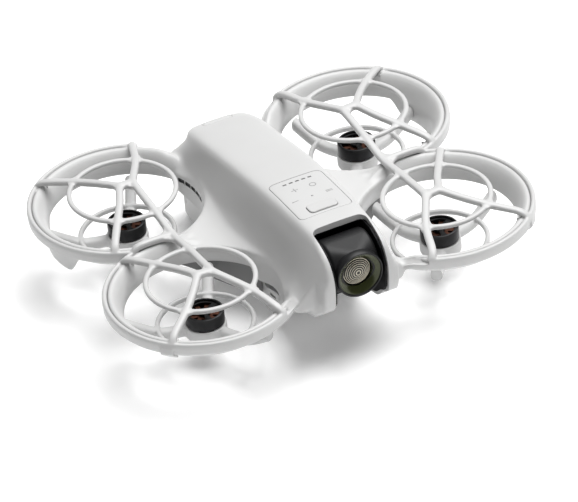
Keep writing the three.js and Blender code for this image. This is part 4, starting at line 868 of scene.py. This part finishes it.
# The rounded corners where a guard's rods cross its inner ring or reach the rim.
def crossingFillets(corner):
    reach = guard["filletReach"]
    webs = []
    for ringAngle, rimAngle in guard["spokes"] + [guard["longArm"], guard["spineCross"]]:
        cross = nearDuct(corner, ringAngle, guard["ringRadius"], guard["ringHeight"])
        out = level(nearDuct(corner, ringAngle, 30, 0) - nearDuct(corner, ringAngle, 0, 0))
        along = Vector((-out.y, out.x, 0))
        webs += fillets(cross, [out, -out, along, -along], reach["ring"], "ring")
        if rimAngle:
            foot = nearDuct(corner, rimAngle, guard["wireLine"], guard["endHeight"] - guard["footDrop"])
            inward = level(nearDuct(corner, rimAngle, 0, 0) - nearDuct(corner, rimAngle, 30, 0))
            along = Vector((-inward.y, inward.x, 0))
            webs += fillets(foot, [inward, along, -along], reach["wire"], "ring")
    return webs


# The rods over one duct, and the points of its long arm from the rim to the hub and on to the spine.
def ductRods(corner):
    reach = guard["filletReach"]
    start, end = guard["wireAngles"]
    steps = guard["wireSteps"]
    wire = [nearDuct(corner, mix(start, end, i / steps), guard["wireLine"], guard["wireHeight"])
            for i in range(steps + 1)]
    steps = guard["ringSteps"]
    ring = [nearDuct(corner, 360 * i / steps, guard["ringRadius"], guard["ringHeight"]) for i in range(steps)]
    pieces = [swept(wire, *guard["wireHalf"]), swept(ring, *guard["ringHalf"], looped=True)]
    pieces += [spoke(corner, *angles) for angles in guard["spokes"]]
    hub = domePoint(corner, 180, 1)
    link = domePoint(corner, 0, guard["hubReach"])
    pieces.append(swept([hub, (hub + link) / 2, link], guard["linkHalf"], guard["rodHalf"][1]))
    armRing, armRim = guard["longArm"]
    outward = [level(domePoint(corner, ringAngle, 9) - hub) for ringAngle, rimAngle in guard["spokes"]]
    pieces += fillets(hub, outward + [level(link - hub)], reach["hub"])
    arm = level(domePoint(corner, armRing, 12) - link)
    toMiddle = Vector((0, -craft["corners"][corner][1], 0))
    pieces += fillets(link, [level(hub - link), arm, toMiddle], reach["link"])
    pieces += crossingFillets(corner)
    spineTurn = -math.degrees(math.acos(guard["spine"] / guard["ringRadius"]))
    run = [nearDuct(corner, armRim, guard["wireLine"], guard["endHeight"]),
           domePoint(corner, armRim, guard["kneeRadius"]), domePoint(corner, armRing, guard["ringRadius"]),
           *(domePoint(corner, *turn) for turn in guard["hubTurns"]),
           nearDuct(corner, spineTurn, guard["ringRadius"], guard["ringHeight"])]
    return pieces, run


def guardPieces():
    pieces, frontRun = ductRods("front_right")
    morePieces, rearRun = ductRods("rear_right")
    pieces += morePieces
    side = craft["sides"]["right"]
    reach = guard["filletReach"]
    wide, deep = guard["rodHalf"]
    spineX = side * (craft["ductX"] - guard["spine"])
    middle = Vector((spineX, 0, craft["motorPlane"] + guard["spineHeight"]))
    pieces.append(swept(smoothLine(frontRun + [middle] + rearRun[::-1], 10), wide, deep))
    meeting = nearDuct("rear_right", guard["wireAngles"][1], guard["wireLine"], guard["wireHeight"])
    wireEnd = Vector((meeting.x, 0, meeting.z))
    bend = Vector((mix(spineX, meeting.x, guard["bridgeBend"]), 0, middle.z))
    bridge = smoothLine([middle, bend, wireEnd], 12)
    pieces.append(swept(bridge, guard["bridgeHalf"], [deep, deep, guard["rimDepth"]]))
    along = [Vector((0, 1, 0)), Vector((0, -1, 0))]
    pieces += fillets(middle, along + [Vector((side, 0, 0))], reach["hub"])
    pieces += fillets(wireEnd, along + [Vector((-side, 0, 0))], reach["tie"])
    lap = meeting.y + guard["tieLap"]
    tie = [Vector((meeting.x, -lap, meeting.z)), Vector((meeting.x + guard["tieBow"], 0, meeting.z)),
           Vector((meeting.x, lap, meeting.z))]
    pieces.append(swept(smoothLine(tie, 6), *guard["tieHalf"]))
    return pieces


# A hook that grips the duct's rim from outside.
def guardClip(corner):
    rings = []
    for way in (-1, -0.5, 0, 0.5, 1):
        turn = way * math.degrees(guard["clipHalf"] / guard["clipRadius"])
        rings.append([nearDuct(corner, guard["clipAngle"] + turn, r, z) for r, z in guard["clip"]])
    return loft(rings)


def makeGuard(side):
    whole = together(guardPieces() + [guardClip("front_right"), guardClip("rear_right")])
    if side > 0:
        moved(whole, Matrix.Scale(-1, 4, (1, 0, 0)))
    return melted(objectOf(whole), guard["voxel"], guard["smoothing"])


for name, side in craft["sides"].items():
    made = makeGuard(side)
    print("guard", name, len(made.data.polygons), "faces")
    finished(made, "guard_rods_" + name, "guardWhite", "airframe", ["guard_" + name], sharp=180)

# Motor mounts: a cup, a lower ring and three struts

mount = {
    "cup": [(0.01, -10), (6.6, -10), (7.2, -9.4), (7.2, -5), (6.2, -5), (6.2, -8.5), (0.01, -8.5)],
    "ringRadius": 16.4,
    "ringHalf": (0.85, 1.05),
    "ringHeight": -5.55,
    "struts": [62, 162, 300],
    "strutLine": [(6.6, -7.3), (16.6, -6.9), (29, -0.3)],  # distance from the motor's line and height
    "strutHalf": (2.05, 2.0),
    "wallGap": 0.25,
    "roomHeights": (-30, 30),
    "voxel": 0.3,
    "smoothing": 5,
}


def mountPieces():
    radius, turns = mount["ringRadius"], [math.tau * i / 80 for i in range(80)]
    ring = [Vector((radius * math.cos(turn), radius * math.sin(turn), mount["ringHeight"])) for turn in turns]
    pieces = [spun(mount["cup"]), swept(ring, *mount["ringHalf"], looped=True)]
    for angle in mount["struts"]:
        turn = math.radians(angle)
        line = [Vector((d * math.cos(turn), d * math.sin(turn), z)) for d, z in mount["strutLine"]]
        pieces.append(swept(smoothLine(line, 8), *mount["strutHalf"], sides=16))
    return pieces


def makeMount(corner):
    side, end = craft["corners"][corner]
    whole = melted(objectOf(together(mountPieces())), mount["voxel"], mount["smoothing"])
    room = cylinder(craft["throat"] - mount["wallGap"], *mount["roomHeights"], steps=160)
    cutBy(whole, [room], "INTERSECT")
    place = Matrix.Translation((*ductPlace(side, end), craft["motorPlane"]))
    return objectOf(moved(meshOf(whole), place @ Matrix.Scale(-side, 4, (1, 0, 0))))


# Motors: a black bell with an open, spoked top

bell = {
    "profile": [(6.07, -4.7), (6.6, -4.7), (6.72, -4.58), (6.72, -0.4), (6.62, -0.12), (6.42, 0), (6.0, 0),
                (5.87, -0.13), (5.87, -0.72), (5.3, -0.8), (5.22, -0.9), (5.22, -1.4), (6.07, -1.4)],
    "hub": [(1.05, -1.5), (2.1, -1.5), (2.1, -0.85), (1.9, -0.65), (1.05, -0.65)],
    "arms": 3,
    "arm": [(1.9, -0.62), (5.6, -1.1), (5.6, 1.1), (1.9, 0.62)],
    "armHeights": (-1.4, -0.75),
    "armTurn": 0.4,
}


def makeBell(corner):
    parts = [spun(bell["profile"], 72), spun(bell["hub"], 40)]
    for i in range(bell["arms"]):
        arm = prism(bell["arm"], *bell["armHeights"])
        parts.append(moved(arm, Matrix.Rotation(math.tau * i / bell["arms"] + bell["armTurn"], 4, "Z")))
    place = (*ductPlace(*craft["corners"][corner]), craft["motorPlane"])
    return objectOf(moved(together(parts), Matrix.Translation(place)))


for corner in craft["corners"]:
    finished(makeMount(corner), "mount_" + corner, "frameWhite", "airframe",
             ["motor_mount_" + corner], sharp=60)
    finished(makeBell(corner), "bell_" + corner, "motorBlack", "rotor_" + corner,
             ["motor_bell_" + corner], sharp=35)
print("mounts and bells made")

# Camera head

head = {
    "hinge": (-51.3, 35.4),
    "drum": [(0.01, -8.6), (7.6, -8.6), (8.5, -8.35), (9.1, -7.6), (9.2, -6.6), (9.2, 6.6), (9.1, 7.6), (8.5, 8.35),
             (7.6, 8.6), (0.01, 8.6)],
    "snout": [(0.01, 0), (8.3, 0), (8.2, 8.0), (0.01, 8.0)],
    "ring": [(7.75, 7.9), (7.75, 10.55), (7.95, 10.85), (8.3, 10.85), (8.5, 10.6), (8.5, 8.2), (8.4, 7.9)],
    "bore": [(0.01, 1.0), (5.5, 1.0), (5.5, 20), (0.01, 20)],
    "bezel": [(5.45, 8.02), (7.72, 8.02), (7.72, 10.3), (7.5, 10.3), (5.7, 8.7), (5.45, 8.5)],
    "glass": [(0.01, 8.0), (4.6, 7.7), (5.35, 7.55), (5.4, 7.75), (4.7, 8.55), (3.3, 9.2), (1.7, 9.52), (0.01, 9.6)],
    "cone": [(0.01, 1.2), (5.4, 1.2), (5.4, 7.1), (4.9, 7.75), (4.0, 8.25), (3.0, 8.7), (1.8, 9.05), (0.8, 9.2),
             (0.01, 9.22)],
    "rings": [(4.95, 0.22, 7.85), (4.3, 0.14, 8.22), (3.75, 0.14, 8.5), (3.15, 0.2, 8.76), (2.45, 0.14, 8.98),
              (1.75, 0.2, 9.16), (0.95, 0.3, 9.3)],  # outer radius, width and height
    "ringDepth": 0.3,
    "voxel": 0.3,
    "smoothing": 4,
}


# Turns a shape made about Z to point forward from the camera's hinge. The next one turns it across.
def onLensAxis(bm):
    y, z = head["hinge"]
    return moved(bm, Matrix.Translation((0, y, z)) @ Matrix.Rotation(math.pi / 2, 4, "X"))


def onTiltAxis(bm):
    y, z = head["hinge"]
    return moved(bm, Matrix.Translation((0, y, z)) @ Matrix.Rotation(math.pi / 2, 4, "Y"))


def makeHousing():
    bm = together([onTiltAxis(spun(head["drum"])), onLensAxis(spun(head["snout"]))])
    made = bmesh.ops.convex_hull(bm, input=bm.verts)
    loose = [v for v in made["geom_interior"] + made["geom_unused"] if isinstance(v, bmesh.types.BMVert)]
    bmesh.ops.delete(bm, geom=loose, context="VERTS")
    thing = melted(objectOf(bm), head["voxel"], head["smoothing"])
    return cutBy(thing, [onLensAxis(spun(head["bore"]))])


# Concentric ridges inside the lens, each a thin bright ring on a dark cone; the rings' pale colour is painted
# reflection for the glints of the lens elements.
def makeLensRings():
    deep = head["ringDepth"]
    rings = [spun([(r - w, z - deep), (r, z - deep), (r, z), (r - w, z)]) for r, w, z in head["rings"]]
    return objectOf(together([onLensAxis(ring) for ring in rings]))


def lensPart(key):
    return objectOf(onLensAxis(spun(head[key])))


def makeHead():
    for name, paint, slot, replaced, thing in (
            ("camera_housing", "cameraGrey", "camera_grey", ["camera_body"], makeHousing()),
            ("camera_ring", "cameraGrey", "camera_grey", ["lens_ring"], lensPart("ring")),
            ("camera_bezel", "bezelGreen", "bezel_green", ["lens_bezel"], lensPart("bezel")),
            ("lens_cone", "barrelBrown", "liner_black", ["lens_barrel"], lensPart("cone")),
            ("lens_dome", "lensGlass", "lens_glass", ["lens_glass"], lensPart("glass")),
            # painted reflection: the lens rings are pale to stand in for glints inside the lens
            ("lens_rings", "ringReflection", "liner_black", [], makeLensRings())):
        finished(thing, name, paint, "camera_head", replaced)


makeHead()
print("camera made")

# Control panel, mode button, status lights, marks and power button, all following the roof


def liftedForm(lift):
    return moved(bodyForm(), Matrix.Translation((0, 0, lift)))


# The body's form within an outline, from a base up to its surface raised by a lift.
def roofPiece(outline, base, lift=0):
    return cutBy(objectOf(liftedForm(lift)), [prism(outline, base, above)], "INTERSECT")


# Rounds the rim between a piece's top and its upright walls.
def softenTop(thing, width, segments=3):
    bm = meshOf(thing)
    bmesh.ops.remove_doubles(bm, verts=bm.verts, dist=0.001)
    rim = [e for e in bm.edges if len(e.link_faces) == 2 and max(f.normal.z for f in e.link_faces) > 0.8
           and min(abs(f.normal.z) for f in e.link_faces) < 0.3]
    bmesh.ops.bevel(bm, geom=rim, offset=width, segments=segments, profile=0.5, affect="EDGES", material=-1)
    return objectOf(bm)


def tube(inner, outer, place):
    low, high = controls["cutHeights"]
    ring = spun([(inner, low), (outer, low), (outer, high), (inner, high)], 48)
    return moved(ring, Matrix.Translation((*place, 0)))


def barAt(x, y, halfX, halfY):
    outline = [(x + wayX * halfX, y + wayY * halfY) for wayX, wayY in ((-1, -1), (1, -1), (1, 1), (-1, 1))]
    return prism(outline, *controls["cutHeights"])


# Plain marks in two rows: a plus and a ring, then a bar, a dot and a pair of bars.
def makeMarks():
    facts = controls["marks"]
    size, line = facts["size"], facts["line"]
    (farX, farY), (nearX, nearY) = facts["farRow"], facts["nearRow"]
    shapes = [barAt(-farX, farY, line / 2, size), tube(size - line, size, (farX, farY))]
    shapes += [barAt(-farX + way * (size + line) / 2, farY, (size - line) / 2, line / 2) for way in (-1, 1)]
    dot = cylinder(size / 3, *controls["cutHeights"], (0, nearY), 32)
    shapes += [barAt(-nearX, nearY, size, line / 2), dot]
    shapes += [barAt(nearX, nearY + way * 1.4 * line, size, line / 2) for way in (-1, 1)]
    marks = []
    for shape in shapes:
        mark = cutBy(objectOf(shape), [liftedForm(facts["proud"])], "INTERSECT")
        marks.append(meshOf(cutBy(mark, [liftedForm(facts["sunk"])])))
    return objectOf(together(marks))


def makeControls():
    panel = roofPiece(planOf(controls["panel"]), controls["panelFloor"])
    cutBy(panel, [prism(planOf(controls["mode"], controls["panelGap"]), controls["modeHole"], above)])
    panel = softenTop(panel, controls["panelRound"])
    lights = controls["lights"]
    for i in range(lights["count"]):
        x = (i - (lights["count"] - 1) / 2) * lights["pitch"]
        cutBy(panel, [barAt(x, lights["row"], *lights["half"])])
    finished(panel, "panel_plate", "shellWhite", "airframe", ["control_panel"], sharp=35)
    mode = roofPiece(planOf(controls["mode"]), controls["modeFloor"], controls["modeLift"])
    mode = softenTop(mode, controls["modeRound"], 4)
    finished(mode, "mode_cap", "buttonWhite", "mode_button", ["mode_button"], sharp=35)
    power = softenTop(roofPiece(planOf(controls["power"]), controls["powerBase"]), controls["panelRound"])
    finished(power, "power_cap", "buttonWhite", "power_button", ["power_button"], sharp=35)
    finished(makeMarks(), "panel_marks", "markGrey", "airframe", sharp=180)


makeControls()
print("controls made")

looks = {  # the CAD nodes that stay, by the start of their names
    "motor_shaft": "steel", "motor_stator": "copper", "camera_bay_liner": "linerBlack", "image_sensor": "boardGreen",
    "tilt": "steel", "control_board": "boardGreen", "light_guide": "lightGrey", "main_board": "boardGreen",
    "heat_sink": "aluminium", "gnss_antenna": "ceramic", "flight_board": "boardGreen", "down_camera": "linerBlack",
    "range_sensor": "linerBlack", "battery_connector": "linerBlack", "usb_c_port": "steel", "belly_screw": "steel",
    "bottom_cover": "shellWhite", "battery_case": "frameWhite", "battery_cell": "cellSilver",
    "battery_latch": "frameWhite", "vent_grille": "ventBlack", "louver": "frameWhite",
}


def dressNodes():
    for name, thing in nodes.items():
        paint = next((look for start, look in looks.items() if name.startswith(start)), None)
        if paint:
            thing.data.materials.clear()
            thing.data.materials.append(paints[paint])


dressNodes()
print("nodes dressed")
